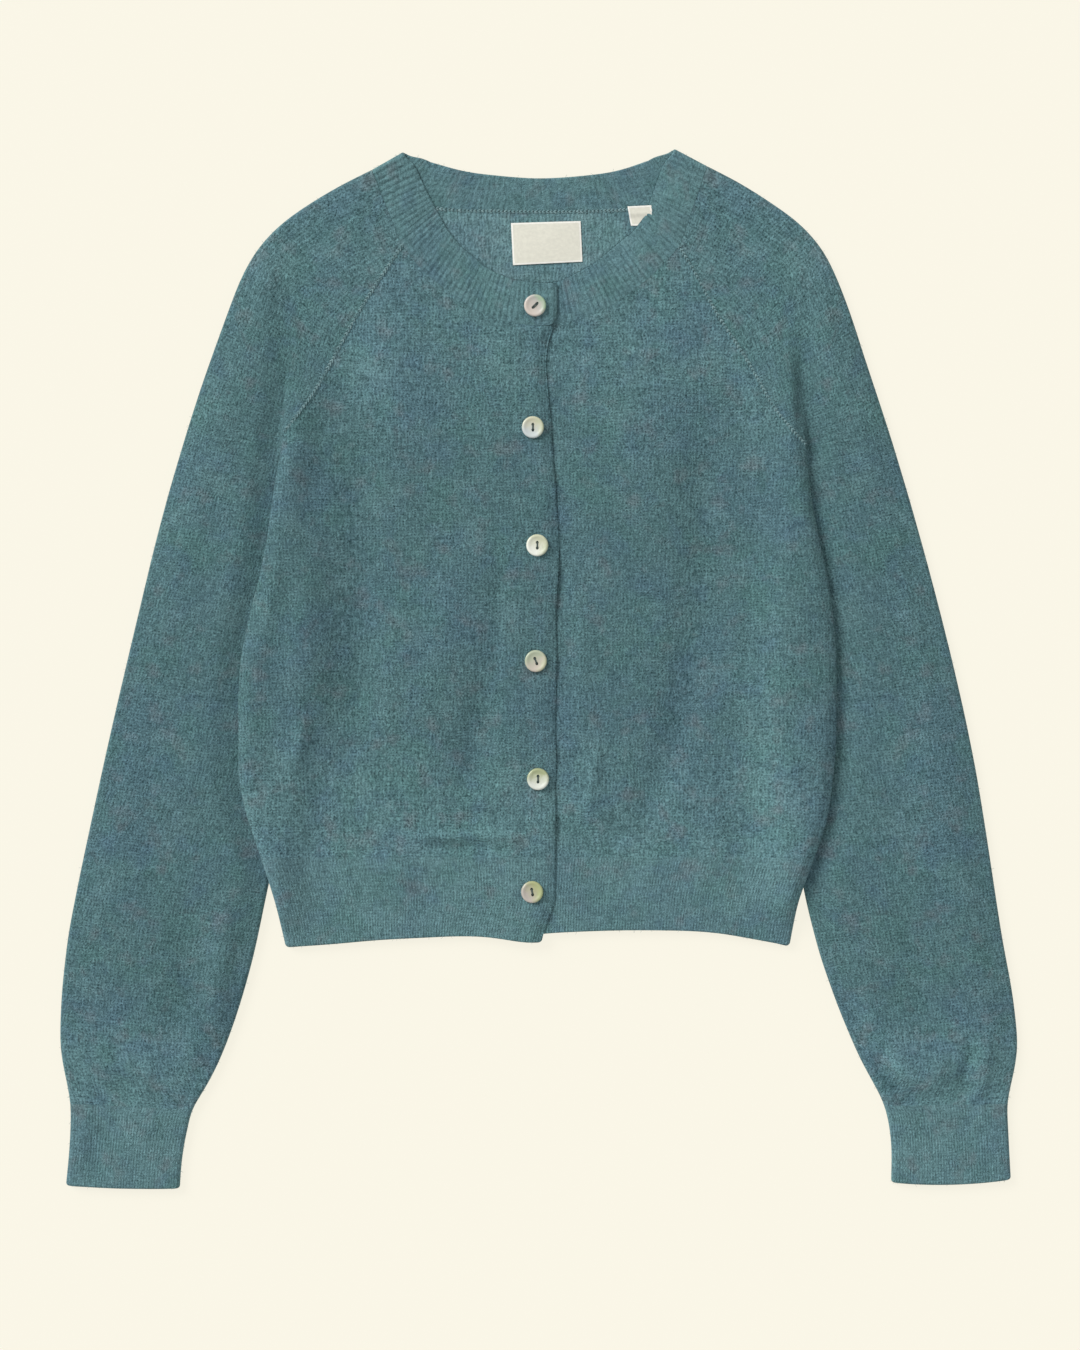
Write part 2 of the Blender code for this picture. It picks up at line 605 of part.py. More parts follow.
def hem_front(name, look, home):
    """The ribbed strip under a front."""
    left = hem_side(name)
    right = along(curve(HEM_CENTRE[name])[::-1], np.linspace(0, 1, HEM_ROWS + 1))
    bottom = curve(HEM_BOTTOM[name])[::-1]
    top = np.stack([left[-1], right[-1]])
    width = np.linalg.norm(right - left, axis=1)[:, None]
    ribs = int((width[-1, 0] - FOLD_RADIUS) / HEM_RIB)
    reach = FOLD_RADIUS + (width - FOLD_RADIUS) * np.linspace(0, 1, 2 * ribs + 1)[1:]
    reach = np.concatenate([np.zeros_like(width), reach], axis=1)
    plan = trimmed(patch(left, right, bottom, top, reach / width), last=True)
    surfaces = []
    for radius, offset in ((FOLD_RADIUS, WALL), (FOLD_INSIDE, 0.0)):
        grid, share = panel_grid(plan, radius, np.ones(len(plan)))
        extra = stand_rise(grid[..., 0]) if name == "right" else 0.0
        heights = upper_heights(grid, share, extra, offset)
        if offset:
            heights = heights + RIB_HEIGHT * (np.arange(share.shape[1]) % 2) * (share > 0.999)
        surfaces.append(solid(grid, heights))
    return wall(f"hem_rib_{name}", *surfaces, look, home)


def hem_back(look, home):
    """The ribbed strip under the back. It rests on its ribbed face, so it is left plain."""
    left, right = hem_side("right"), hem_side("left")
    top = np.stack([left[-1], right[-1]])
    plan = patch(left, right, curve(HEM_BACK_BOTTOM), top, back_columns(left, right))
    plan = trimmed(plan, last=True)
    rolled = np.ones(len(plan))
    surfaces = []
    for radius, offset in ((FOLD_RADIUS, 0.0), (FOLD_INSIDE, WALL)):
        grid, share = panel_grid(plan, radius, rolled, rolled)
        surfaces.append(solid(grid, lower_heights(grid, share, offset)))
    return wall("hem_rib_back", *surfaces, look, home)


# ---------------------------------------------------------------- sleeves and cuffs
def tube_grid(front_edge, fold, back_edge, rolled, radius, top_reach):
    """Plan points and signed shares of height round a flattened sleeve, row by row.

    A row runs from the front edge over the upper layer to the folded outer edge, and back
    under it to the back edge. top_reach holds the upper layer's columns as distances from
    the front edge. The share is 1 on the upper layer and -1 on the lower one.
    """
    over, under = unit(fold - front_edge), unit(fold - back_edge)
    start, start_share = rolled_columns(front_edge, over, rolled, radius)
    end, end_share = rolled_columns(back_edge, under, rolled, radius)
    top = front_edge[:, None] + over[:, None] * top_reach[..., None]
    spots, shares = [start, top], [start_share, np.ones(top.shape[:2])]
    for angle in FOLD_ANGLES:
        turned = math.radians(angle)
        way = unit(over + under) if angle == 0.0 else (over if angle > 0 else under)
        spots.append((fold - way * (FOLD_RADIUS - radius * math.cos(turned)))[:, None])
        shares.append(np.full((len(fold), 1), math.sin(turned)))
    parts = np.linspace(0, 1, SLEEVE_UNDER + 1)[:-1, None]
    near, far = back_edge + under * FOLD_RADIUS, fold - under * FOLD_RADIUS
    spots.append(far[:, None] * (1 - parts) + near[:, None] * parts)
    shares.append(-np.ones((len(fold), SLEEVE_UNDER)))
    spots.append(end[:, ::-1])
    shares.append(-end_share[:, ::-1])
    return np.concatenate(spots, axis=1), np.concatenate(shares, axis=1)


def arm_rows(side):
    """Rows of a sleeve: front edge, outer fold and back edge."""
    outer = curve(side.outer)
    level = along(outer, np.linspace(0, 1, 400))
    split = np.argmin(np.abs(level[:, 1] - side.underarm.y - ELBOW_RISE)) / 399
    head = np.linspace(0, 1, RAGLAN_ROWS + 1)
    inner = curve(side.inner)
    arm = below_underarm(lengths(inner)[-1], ARM_ROWS)
    fold = along(outer, np.concatenate([head * split, split + arm * (1 - split)]))
    front_edge = np.concatenate([along(curve(side.raglan_front), head), along(inner, arm)])
    back_edge = np.concatenate([along(curve(side.raglan_back), head), along(inner, arm)])
    return front_edge, fold, back_edge


def top_columns(name, front_edge, fold):
    """Distances of the upper layer's columns: at the crease, just past it, then even."""
    width = np.linalg.norm(fold - front_edge, axis=1)[:, None]
    run = np.linspace(0, 1, 200)
    spots = front_edge[:, None] + (fold - front_edge)[:, None] * run[:, None]
    inside = inside_edge(name, spots[..., 0], spots[..., 1])
    crease = np.array([np.interp(0.0, -row, run) for row in inside])[:, None] * width
    crease = np.clip(crease, FOLD_RADIUS + 3.0, 0.6 * width)
    past = crease + CREASE_WIDTH + 1.0
    parts = np.linspace(0, 1, SLEEVE_TOP + 1)[1:]
    even = past * (1 - parts) + (width - FOLD_RADIUS) * parts
    return np.concatenate([0.5 * (crease + FOLD_RADIUS), crease, past, even], axis=1)


def sleeve(name, look, home):
    """A raglan sleeve: open along the raglans, a flattened tube below the underarm."""
    side = SIDES[name]
    front_edge, fold, back_edge = arm_rows(side)
    rolled = roll_share(name, front_edge[:, 1])
    rolled[: RAGLAN_ROWS + 1] = 0.0
    front_edge = front_edge + SEAM * (1 - rolled)[:, None] * unit(fold - front_edge)
    back_edge = back_edge + SEAM * (1 - rolled)[:, None] * unit(fold - back_edge)
    reach = top_columns(name, front_edge, fold)
    v = np.linspace(0, 1, len(fold))[:, None]
    surfaces = []
    for radius, offset in ((FOLD_RADIUS, 0.0), (FOLD_INSIDE, WALL)):
        plan, share = tube_grid(front_edge, fold, back_edge, rolled, radius, reach)
        x, y = plan[..., 0], plan[..., 1]
        open_share = (1 - rolled)[:, None]
        low = lower_lift(x, y) * open_share
        high = UPPER + WALL + upper_lift(x, y) * open_share
        seam = 0.5 * (low + high)
        heights = seam + np.where(share > 0, high - offset - seam, seam - low - offset) * share
        bare = smooth((-inside_edge(name, x, y) - 1.0) / 20.0)
        ends = smooth(v / 0.12) * smooth((1 - v) / 0.05)
        off_fold = smooth(np.linalg.norm(plan - fold[:, None], axis=-1) / 24.0)
        off_edge = smooth(np.linalg.norm(plan - front_edge[:, None], axis=-1) / 24.0)
        soft = (SLEEVE_PUFF + folds(SLEEVE_FOLDS, x, y)) * bare * ends * off_fold * off_edge
        heights = heights + soft * (share > 0.999)
        heights[:, 0] += SEAM * rolled
        heights[:, -1] -= SEAM * rolled
        surfaces.append(trimmed(solid(plan, heights), first=True, last=True))
    return wall(f"sleeve_{name}", *surfaces, look, home)


def cuff(name, look, home):
    """A ribbed cuff: a short flattened tube with raised ribs on top."""
    side = SIDES[name]
    rows = np.linspace(0, 1, CUFF_ROWS + 1)
    fold = along(curve(side.cuff_outer), rows)
    edge = along(curve(side.cuff_inner), rows)
    flat = np.linalg.norm(fold - edge, axis=1)[:, None] - 2 * FOLD_RADIUS
    ribs = int(flat[-1, 0] / CUFF_RIB)
    reach = FOLD_RADIUS + flat * np.linspace(0, 1, 2 * ribs + 1)[1:]
    surfaces = []
    for radius, offset in ((FOLD_RADIUS, 0.0), (FOLD_INSIDE, WALL)):
        plan, share = tube_grid(edge, fold, edge, np.ones(len(rows)), radius, reach)
        heights = FOLD_RADIUS + (FOLD_RADIUS - offset) * share
        heights[:, 0] += SEAM
        heights[:, -1] -= SEAM
        if not offset:
            heights = heights + RIB_HEIGHT * (np.arange(share.shape[1]) % 2) * (share > 0.999)
        surfaces.append(trimmed(solid(plan, heights), first=True))
    return wall(f"cuff_{name}", *surfaces, look, home)


# ---------------------------------------------------------------- neckband
def band_columns(table):
    """Sections at the neck ribs' spacing along a stretch of the band, an even number apart."""
    line = curve(table)
    mean = 0.5 * (lengths(line)[-1] + lengths(line[:, 2:])[-1])
    return along(line, np.linspace(0, 1, 2 * round(mean / NECK_RIB) + 1))


def across_band(sections):
    """Three plan points of each section: sewn edge, start of the rounding, free edge."""
    sewn, free = sections[:, :2], sections[:, 2:]
    width = np.linalg.norm(free - sewn, axis=1)[:, None]
    near = free + (sewn - free) * BAND_ROUNDING / width
    return np.stack([sewn, near, free])


def shoulder(name):
    """Columns from the front raglan over the fold to the back raglan: sections and angles."""
    front_table = np.array(NECK_SHOULDER[name], float)
    back_table = np.array(NECK_BACK_SHOULDER[name], float)
    fold = front_table[-1].reshape(2, 2).copy()
    over = unit(fold - front_table[0].reshape(2, 2))
    under = unit(fold - back_table[-1].reshape(2, 2))
    front_table[-1] = (fold - over * FOLD_RADIUS).ravel()
    back_table[0] = (fold - under * FOLD_RADIUS).ravel()
    return band_columns(front_table), band_columns(back_table), fold, over, under


def neckband(look, home):
    """One ribbed strip from centre front to centre front, folded over at both shoulders."""
    surfaces = []
    for radius, offset in ((FOLD_RADIUS, 0.0), (FOLD_INSIDE, WALL)):
        outside = offset == 0.0
        inset = np.array([0.0, 0.0, BAND_EDGE if outside else -BAND_EDGE])
        plans, heights = [], []

        def flat(sections, layer, raised, skip):
            """Adds the columns of a flat stretch: layer is 1 in front, -1 at the back."""
            plan = across_band(sections)[:, skip:]
            height = FOLD_RADIUS + layer * (FOLD_RADIUS - offset - inset[:, None])
            height = np.repeat(height, plan.shape[1], axis=1)
            if (layer > 0) == outside:
                rib = RIB_HEIGHT * (np.arange(skip, len(sections)) % 2)
                height = height + rib * np.array([[1.0], [1.0], [0.5]])
            if raised:
                height = height + stand_rise(plan[..., 0])
            plans.append(plan)
            heights.append(height)

        def turned(fold, over, under, angles):
            """Adds the columns round the fold at a shoulder."""
            for angle in angles:
                turn = math.radians(angle)
                way = unit(over + under) if angle == 0.0 else (over if angle > 0 else under)
                width = np.linalg.norm(fold[1] - fold[0])
                share = np.array([0.0, 1.0 - BAND_ROUNDING / width, 1.0])[:, None]
                spot = fold[0] * (1 - share) + fold[1] * share
                way = unit(way[0] * (1 - share) + way[1] * share)
                reach = FOLD_RADIUS - (radius - inset) * math.cos(turn)
                plans.append((spot - way * reach[:, None])[:, None])
                rise = FOLD_RADIUS + (FOLD_RADIUS - offset - inset) * math.sin(turn)
                heights.append(rise[:, None])

        for name, order in (("right", 1), ("left", -1)):
            front_run, back_run, fold, over, under = shoulder(name)
            centre_run = band_columns(NECK_FRONT[name])
            if order > 0:
                flat(centre_run, 1, True, 0)
                flat(front_run, 1, False, 1)
                turned(fold, over, under, FOLD_ANGLES)
                flat(back_run, -1, False, 0)
                flat(band_columns(NECK_BACK), -1, False, 1)
            else:
                flat(back_run[::-1], -1, False, 1)
                turned(fold, over, under, FOLD_ANGLES[::-1])
                flat(front_run[::-1], 1, False, 0)
                flat(centre_run[::-1], 1, False, 1)
        grid = solid(np.concatenate(plans, axis=1), np.concatenate(heights, axis=1))
        surfaces.append(trimmed(grid, first=True))
    return wall("neckband", *surfaces, look, home)


# ---------------------------------------------------------------- labels and buttons
def tag(name, label, underside, look, home):
    """A thin flat label lying on the inside of the back."""
    grid = np.array([[(u * label.width, v * label.height) for u in (-0.5, 0.0, 0.5)] for v in (-0.5, 0.5)])
    turn = math.radians(label.turn)
    spin = np.array([[math.cos(turn), math.sin(turn)], [-math.sin(turn), math.cos(turn)]])
    plan = grid @ spin + np.array([label.x, label.y])
    low = solid(plan, np.full(plan.shape[:2], underside))
    high = solid(plan, np.full(plan.shape[:2], underside + label.thickness))
    return wall(name, high, low, look, home)


def hole_cutter(name, button, height, cutters):
    """Two upright pins for a button's holes."""
    mesh = bpy.data.meshes.new(name)
    shape = bmesh.new()
    turn = math.radians(button.turn + 90.0)
    for sign in (-1, 1):
        pin = bmesh.ops.create_cone(
            shape, cap_ends=True, segments=8, radius1=BUTTON_HOLE_RADIUS * MM,
            radius2=BUTTON_HOLE_RADIUS * MM, depth=8.0 * MM,
        )
        reach = sign * BUTTON_HOLE_SPACING / 2
        spot = (button.x + reach * math.cos(turn), button.y + reach * math.sin(turn), height)
        bmesh.ops.translate(shape, verts=pin["verts"], vec=[c * MM for c in spot])
    shape.to_mesh(mesh)
    shape.free()
    made = bpy.data.objects.new(name, mesh)
    made.hide_render = True
    made.display_type = "WIRE"
    cutters.objects.link(made)
    return made


def button_body(number, button, height, look, home, cutters):
    """A round two-hole button: its profile turned about its axis, with the holes cut."""
    mesh = bpy.data.meshes.new(f"button_{number}")
    verts = [(r * MM, 0.0, z * MM) for r, z in BUTTON_PROFILE]
    mesh.from_pydata(verts, [(i, i + 1) for i in range(len(verts) - 1)], [])
    mesh.materials.append(look)
    made = bpy.data.objects.new(f"button_{number}", mesh)
    made.location = (button.x * MM, button.y * MM, height * MM)
    home.objects.link(made)
    turned = made.modifiers.new("turned", "SCREW")
    turned.steps = turned.render_steps = BUTTON_SIDES
    turned.use_merge_vertices = True
    turned.merge_threshold = 0.0001
    turned.use_smooth_shade = True
    holes = made.modifiers.new("holes", "BOOLEAN")
    holes.operation = "DIFFERENCE"
    holes.solver = "EXACT"
    holes.object = hole_cutter(f"button_{number}_pins", button, height, cutters)
    return made


def main():
    for old in list(bpy.data.objects):
        bpy.data.objects.remove(old)
    home = bpy.data.collections.new(COLLECTION)
    cutters = bpy.data.collections.new(CUTTERS)
    bpy.context.scene.collection.children.link(home)
    bpy.context.scene.collection.children.link(cutters)
    cutters.hide_render = True
    knit = material("brushed_knit", "#547277", 0.95)
    rib = material("rib_knit", "#4F6D72", 0.95)
    pearl = material("mother_of_pearl", "#E6DDC8", 0.25)
    satin = material("woven_satin", "#EDE6D8", 0.5)
    back(knit, home)
    for name in SIDES:
        front(name, knit, home)
        sleeve(name, knit, home)
        cuff(name, rib, home)
        hem_front(name, rib, home)
    hem_back(rib, home)
    neckband(rib, home)
    tag("neck_label", NECK_LABEL, WALL + LAID_ON, satin, home)
    tag("care_label", CARE_LABEL, WALL + LAID_ON, satin, home)
    stand = UPPER + STAND_OVERLAP + WALL + LAID_ON
    for number, button in enumerate(BUTTONS, start=1):
        ribbed = RIB_HEIGHT if number in (1, len(BUTTONS)) else 0.0
        button_body(number, button, stand + ribbed, pearl, home, cutters)


main()
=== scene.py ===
"""Looks of the button cardigan: brushed heather knit, ribs, pearl buttons and woven labels.

Every cloth piece is a closed wall of knit on the form of its solid, finer and softer: the
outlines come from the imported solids, and the heights from the way the pieces lie on each
other. Sizes are millimetres, with +Z up, +Y towards the neck and -X the wearer's right.
"""

import json
import logging
import math
from dataclasses import dataclass, field
from enum import Enum
from typing import Any, Callable, Iterable, NamedTuple, Optional, Sequence

import bmesh
import bpy
import numpy as np
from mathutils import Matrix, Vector
from numpy.linalg import norm

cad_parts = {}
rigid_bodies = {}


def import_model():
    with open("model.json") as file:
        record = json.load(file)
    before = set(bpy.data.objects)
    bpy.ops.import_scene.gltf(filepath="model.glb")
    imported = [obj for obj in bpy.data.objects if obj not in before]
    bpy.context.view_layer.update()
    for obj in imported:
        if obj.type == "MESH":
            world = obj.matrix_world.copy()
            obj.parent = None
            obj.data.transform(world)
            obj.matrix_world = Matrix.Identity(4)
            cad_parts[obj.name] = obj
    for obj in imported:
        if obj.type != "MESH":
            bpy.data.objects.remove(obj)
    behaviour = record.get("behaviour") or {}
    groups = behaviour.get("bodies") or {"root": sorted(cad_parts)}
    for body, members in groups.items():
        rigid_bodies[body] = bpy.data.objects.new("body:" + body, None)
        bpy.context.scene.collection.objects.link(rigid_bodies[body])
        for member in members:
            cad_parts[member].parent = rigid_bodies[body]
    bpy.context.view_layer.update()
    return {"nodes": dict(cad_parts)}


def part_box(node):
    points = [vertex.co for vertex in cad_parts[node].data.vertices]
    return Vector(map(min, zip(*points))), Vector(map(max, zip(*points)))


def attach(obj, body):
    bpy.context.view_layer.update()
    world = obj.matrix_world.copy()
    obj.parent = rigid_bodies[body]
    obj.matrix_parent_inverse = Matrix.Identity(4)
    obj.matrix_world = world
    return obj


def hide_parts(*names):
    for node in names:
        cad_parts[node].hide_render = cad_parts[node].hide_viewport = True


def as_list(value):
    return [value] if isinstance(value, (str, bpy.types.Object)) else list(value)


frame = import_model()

Array = np.ndarray
concat = np.concatenate
Socket = bpy.types.NodeSocket
Material = bpy.types.Material
Piece = bpy.types.Object
Link = Callable[[str, Socket], None]
Pair = tuple[float, float]
Grids = tuple[Array, Array]
Table = Sequence[Sequence[float]]
LOG = logging.getLogger("cardigan")
MM = 0.001
BODY = "root"

# How the knit lies
WALL = 2.2  # thickness of the knit
AIR = 1  # between the front and back layers, and inside a flattened sleeve
PUFF = 2.6  # how far the middle of a front stands off the back
SLEEVE_PUFF = 3.8
UPPER = WALL + AIR  # underside of the upper layer
BEND = WALL + AIR / 2  # radius of a folded edge, outside
BEND_INSIDE = AIR / 2
# Radius of a wall's outer and inner surface at a fold, with its height over the wall's underside
UPPER_FACES = ((BEND, WALL), (BEND_INSIDE, 0))
LOWER_FACES = ((BEND, 0), (BEND_INSIDE, WALL))
FLAT = 0.999  # share of height from which a point belongs to the flat part of a layer
LIFT = 5.8  # height of the back where it lies on a tucked sleeve
LIFT_RAMP = 28  # width over which the back comes down to the surface again
CREASE_WIDTH = 3  # width of the steep step from the body down to the sleeve
WIDE_CREASE = 13  # and of the broad one above the left underarm
UNDERARM_RISE = 16  # length along the side over which the lift grows
ELBOW_RISE = 15.5  # the sleeve's outer edge level with the underarm is this much higher
HEM_DROP = 35  # length along the side over which the hem comes down again
STAND_OVERLAP = 3  # height of the right front's stand over the left one
STAND_RAMP = 30
STAND_EDGE_X = 12  # x of the right front's centre edge, about
STAND_FOOT = -47  # x at which the stand starts to rise
ROUNDING = 1.3  # radius of a rounded free edge
# How far the body stands up just inside its edge over each sleeve, and the roll's two widths
EDGE_SWELL = {"right": (2.8, 9, 20), "left": (4.4, 16, 34)}
SEAM_RISE = 0.2  # how far the linking stitches' middles lie above the cloth
LOWEST = 0.15  # gap that a crease leaves between the layers
FOLD_SHADE_RATE = 0.1  # painted light and shade on folds: how much paler the colour is for each millimetre that a fold stands up, and darker for each that it sinks
DEEP_CREASE = 5  # at this depth the painted shade per millimetre is twice as strong
DEEPER = 1.25  # the folds' heights below are scaled by this
# How much paler the colour is made towards the shoulders, the hem, the sleeve heads and the wrists,
# where that starts, and the length over which it grows
SHOULDER_PALER = (0.5, 130, 110)
HEM_PALER = (0.9, -30, 90)
ARM_PALER = (0.5, 150, 90)
WRIST_PALER = (0.8, 75, 60)
LEAST_TUCK = 5  # how far a sleeve reaches under the body, at the least, near the underarm
NEAR_UNDERARM = 60  # length over which that holds
BELOW_UNDERARM = 4  # where a side's outline starts
ARM_SOFTENED = 10  # how widely a sleeve's outer edge is eased

# How finely the pieces are divided
FINE = 2.6
COARSE = 4.5
ROLL_ANGLES = (0, 18, 36, 54, 72, 90)
FOLD_ANGLES = (72, 54, 36, 18, 0, -18, -36, -54, -72)
FOLD_TURN = 144  # degrees from the first of these to the last
SQUARE_SHARE = 0.8  # share of the next column's distance that a square edge's columns take
# Distances of a free edge's rows from it, in its rounding's radius: the first five lie on it
ROUNDED_ROWS = (0, 0.1, 0.3, 0.6, 1, 1.4, 1.9)


class Layer(Enum):
    """Which side of the lying garment a surface is on."""

    UPPER = 1
    LOWER = -1


class Spot(NamedTuple):
    """A point of the plan, in millimetres."""

    x: float
    y: float


# The underarm points, and the crease that runs on above each in the sleeve itself
UNDERARM = {"right": Spot(-173.7, 158), "left": Spot(180, 151)}
CREASE_TOP = {
    "right": (Spot(-168.5, 215.5), Spot(-170, 188.5), Spot(-172.5, 168)),
    "left": (Spot(178, 247), Spot(177, 215.5), Spot(178, 193), Spot(179.6, 158)),
}

# How widely the corner between sleeve and cuff is eased on the inner side
PALM_SOFTENED = {"right": 14, "left": 9}

# Each fold below is a soft ridge (+) or trough (-) along a line of the plan: x and y of its two
# ends, its width and its height.
# Soft creases of the body's upper layer, from the wearer's right to the left
BODY_FOLDS = (
    (-166, 235, -172, 150, 9, 1.5), (-182, 90, -190, 10, 8, 1.4), (-160, -38, -167, -70, 5, 2),
    (-128, 190, -126, 80, 17, -2.5), (-126, 80, -127, -48, 15, -3.1), (-98, 45, -107, -62, 15, 1.7),
    (-112, 238, -100, 140, 24, 1.9), (-56, 70, -84, -62, 14, 1.5), (-17, 88, -34, 0, 13, -2.2),
    (-34, 0, -52, -92, 12, -2.5), (-86, -115.5, -46, -115, 3.5, 2.3),
    (-46, -115, -12, -115.5, 3.5, 1.9), (-80, -123, -42, -122, 2.4, -2.3),
    (-42, -122, -10, -124.5, 2.6, -1.5), (-34, -98.5, -24, -108, 2.5, -1.6),
    (-100, -134, -92, -152, 8, 0.9), (-46, -132, -42, -156, 7, 0.8), (62, -128, 58, -150, 8, -0.9),
    (104, -130, 112, -152, 9, 0.9), (22, 66, 31, -30, 8, 1.2), (38, -58, 33, -100, 5.5, 2.2),
    (49, -96, 53, -119, 5, -1.7), (62, 210, 74, 120, 20, 1.4), (114, 168, 106, 40, 15, -2.2),
    (106, 40, 92, -40, 14, -2.5), (92, -40, 67, -108, 12, -2.5), (146, 190, 158, 150, 9, 1.5),
    (150, 20, 170, -92, 26, 2), (128, -84, 144, -120, 9, -1.4),
)
# Where the stand's edge stands up a little from the left front
EDGE_RISES = (
    (13, 186, 13, 176, 6, 1), (13, 128, 13, 118, 5, 0.8), (13, 74, 14, 42, 6, 1.2),
    (13, 8, 13, -6, 5, 0.9), (12, -56, 12, -66, 5, 0.7), (11, -98, 11, -112, 7, 1.4),
)
# How far that edge lies inside its solid's, at some levels from the top down
EDGE_LEVELS = (232, 200, 130, 40, -40, -63, -90, -118, -150, -166, -178, -188)
EDGE_TAKEN = (1.2, 1.7, 1.2, 1.4, 0.6, -0.4, 1, 2.2, 2.4, 1.9, 2, 0.5)
PRESSED = (1.9, 0.5)  # how far the outside and the inside of its edge are pressed down
PRESSED_WIDTH = 8
# The turned edge of the button stand's facing, which shows through the right front
STAND_EDGE = ((-15.5, 222, -14, 60, 1.8, 0.35), (-14, 60, -16, -160, 1.8, 0.4))
CUFF_BOW = {"right": 0.8, "left": 2.2}  # how far the middle of a cuff's edge reaches down
# Creases in the upper layer of the sleeves and cuffs
SLEEVE_FOLDS = (
    (-222, 210, -240, 90, 22, 1), (-196, 150, -214, 10, 14, 1), (-252, 20, -286, -112, 18, -1.2),
    (-238, -168, -247, -258, 13, -2), (-213, -160, -221, -250, 8, 1.4),
    (-304, -180, -306, -270, 16, -1.2), (-290, -262, -276, -292, 6, -1.4),
    (-262, -264, -270, -292, 6, 1.2), (214, 230, 228, 150, 18, 1.2), (232, 100, 252, -20, 16, -1),
    (205, -117, 300, -110, 4, 1), (262, -40, 276, -150, 18, 1), (246, -170, 262, -240, 12, -1.5),
    (218, -230, 250, -272, 8, 2.1), (228, -264, 234, -280, 4, -1.8),
    (231, -279.5, 247, -290.5, 2.8, -4.8), (247, -290.5, 261, -298, 3.2, -4.2),
    (236, -268, 262, -284, 5, 3.2), (231, -288, 242, -298, 4, 2), (292, -262, 286, -292, 4.5, -2.8),
    (303, -256, 298, -290, 6, 1.8), (270, -262, 268, -290, 6, 1.2),
)
CUFF_FOLDS = (
    (-306, -300, -316, -346, 6, 0.5), (-287, -296, -307, -346, 8, -1.4),
    (-272, -310, -288, -350, 9, 0.7), (-262, -300, -266, -330, 7, 0.8), (254, -296, 262, -312, 5, -1.4),
    (262, -312, 300, -316, 5, -0.8), (290, -298, 286, -326, 6, -0.8),
)
# Shallow hollows of the side that rests on the surface, where the cloth rides up a little
UNDERSIDE_FOLDS = (
    (-120, 150, -80, 20, 12, 0.9), (40, 120, 30, -40, 14, 0.9), (-30, -60, -60, -110, 9, 0.8),
    (110, 60, 120, -80, 11, 0.9), (-225, 180, -250, 40, 12, 0.8), (-270, -60, -285, -230, 11, 0.8),
    (240, 60, 268, -120, 12, 0.8), (230, -262, 268, -284, 7, 0.9),
)

# The neckband's sections from the centre front up to a shoulder's fold, and from fold to fold
# along the back: x and y of a point of its sewn edge, and x and y of one of its free edge
NECK_SIDE = {
    "right": (
        (12, 232, 12.3, 260.6), (-6.5, 232, -6.5, 261.5), (-20, 234, -15.5, 263),
        (-35.5, 238.5, -26.5, 266.5), (-46.5, 244.5, -35, 271), (-59, 252.5, -43.5, 278),
        (-69.5, 261, -53, 286), (-80.5, 270.5, -61, 295.5), (-93.5, 286.5, -68.5, 308),
        (-103.75, 312.25, -77.5, 325.5), (-114, 338, -89.5, 352),
    ),
    "left": (
        (-16, 232, -16, 261), (0.5, 232, 0.5, 261), (16.5, 234, 13, 262.5), (33, 238, 23, 267),
        (45, 243.5, 32.5, 272), (59, 252.5, 42, 278.5), (70.5, 261, 52, 287), (82, 271.5, 62.5, 295.5),
        (95, 285.5, 71.5, 306.5), (104.5, 313, 78, 325.5), (114, 340.5, 88.5, 354),
    ),
}
NECK_BACK = (
    (-92, 315.5, -74, 343.5), (-67.5, 311.5, -54, 338), (-34, 310, -30, 334.5), (0.5, 309.5, 0.5, 332.5),
    (34, 310, 32, 334.5), (68.5, 312, 56, 338.5), (92, 317, 74, 344.5),
)
NECK_TURN = 8  # the section at which the straighter stretch up to a fold starts


# --- curves
def smooth(value: Any) -> Array:
    """0 below 0, 1 above 1, and an eased step between."""
    value = np.clip(value, 0, 1)
    return value * value * (3 - 2 * value)


def lengths(line: Array) -> Array:
    """Distance along a line of points, from its start to each point."""
    steps = norm(np.diff(line[:, :2], axis=0), axis=1)
    return concat([[0], np.cumsum(steps)])


def along(line: Array, fractions: Any) -> Array:
    """Points at these fractions of a line's length."""
    run = lengths(line)
    at = np.asarray(fractions, float) * run[-1]
    return np.stack([np.interp(at, run, line[:, i]) for i in range(line.shape[1])], axis=-1)


def curve(rows: Table, step: float = 1) -> Array:
    """A dense smooth curve through a few rows.

    Args:
        rows: the rows that it passes through, spaced by their first two numbers.
        step: distance between its points.

    Returns:
        The curve's points, with as many numbers each as a row.
    """
    spots = np.array(rows, float)
    knots = lengths(spots)
    slopes = np.gradient(spots, knots, axis=0)
    at = np.linspace(0, knots[-1], max(3, int(knots[-1] / step)))
    k = np.clip(np.searchsorted(knots, at, side="right") - 1, 0, len(knots) - 2)
    h = (knots[k + 1] - knots[k])[:, None]
    u = (at - knots[k])[:, None] / h
    start, end = spots[k], spots[k + 1]
    return (
        start * (2 * u**3 - 3 * u**2 + 1)
        + slopes[k] * h * (u**3 - 2 * u**2 + u)
        + end * (3 * u**2 - 2 * u**3)
        + slopes[k + 1] * h * (u**3 - u**2)
    )


def unit(vectors: Array) -> Array:
    """Vectors of length 1."""
    return vectors / norm(vectors, axis=-1, keepdims=True)


def x_at(line: Array, y: Any) -> Array:
    """x of a line that runs down in y."""
    return np.interp(y, line[::-1, 1], line[::-1, 0])


def divisions(length: float, spacing: float) -> int:
    """How many steps of about this spacing a length takes."""
    return max(2, round(length / spacing))


def equal_parts(count: int) -> Array:
    """Shares from 0 to 1 in this many steps."""
    return np.linspace(0, 1, count + 1)


def evenly(line: Array, spacing: float = 1) -> Array:
    """Points of a line at even distances of about this spacing."""
    return along(line, equal_parts(divisions(lengths(line)[-1], spacing)))


def run_shares(line: Array) -> Array:
    """Each point's share of a line's length."""
    run = lengths(line)
    return run / run[-1]


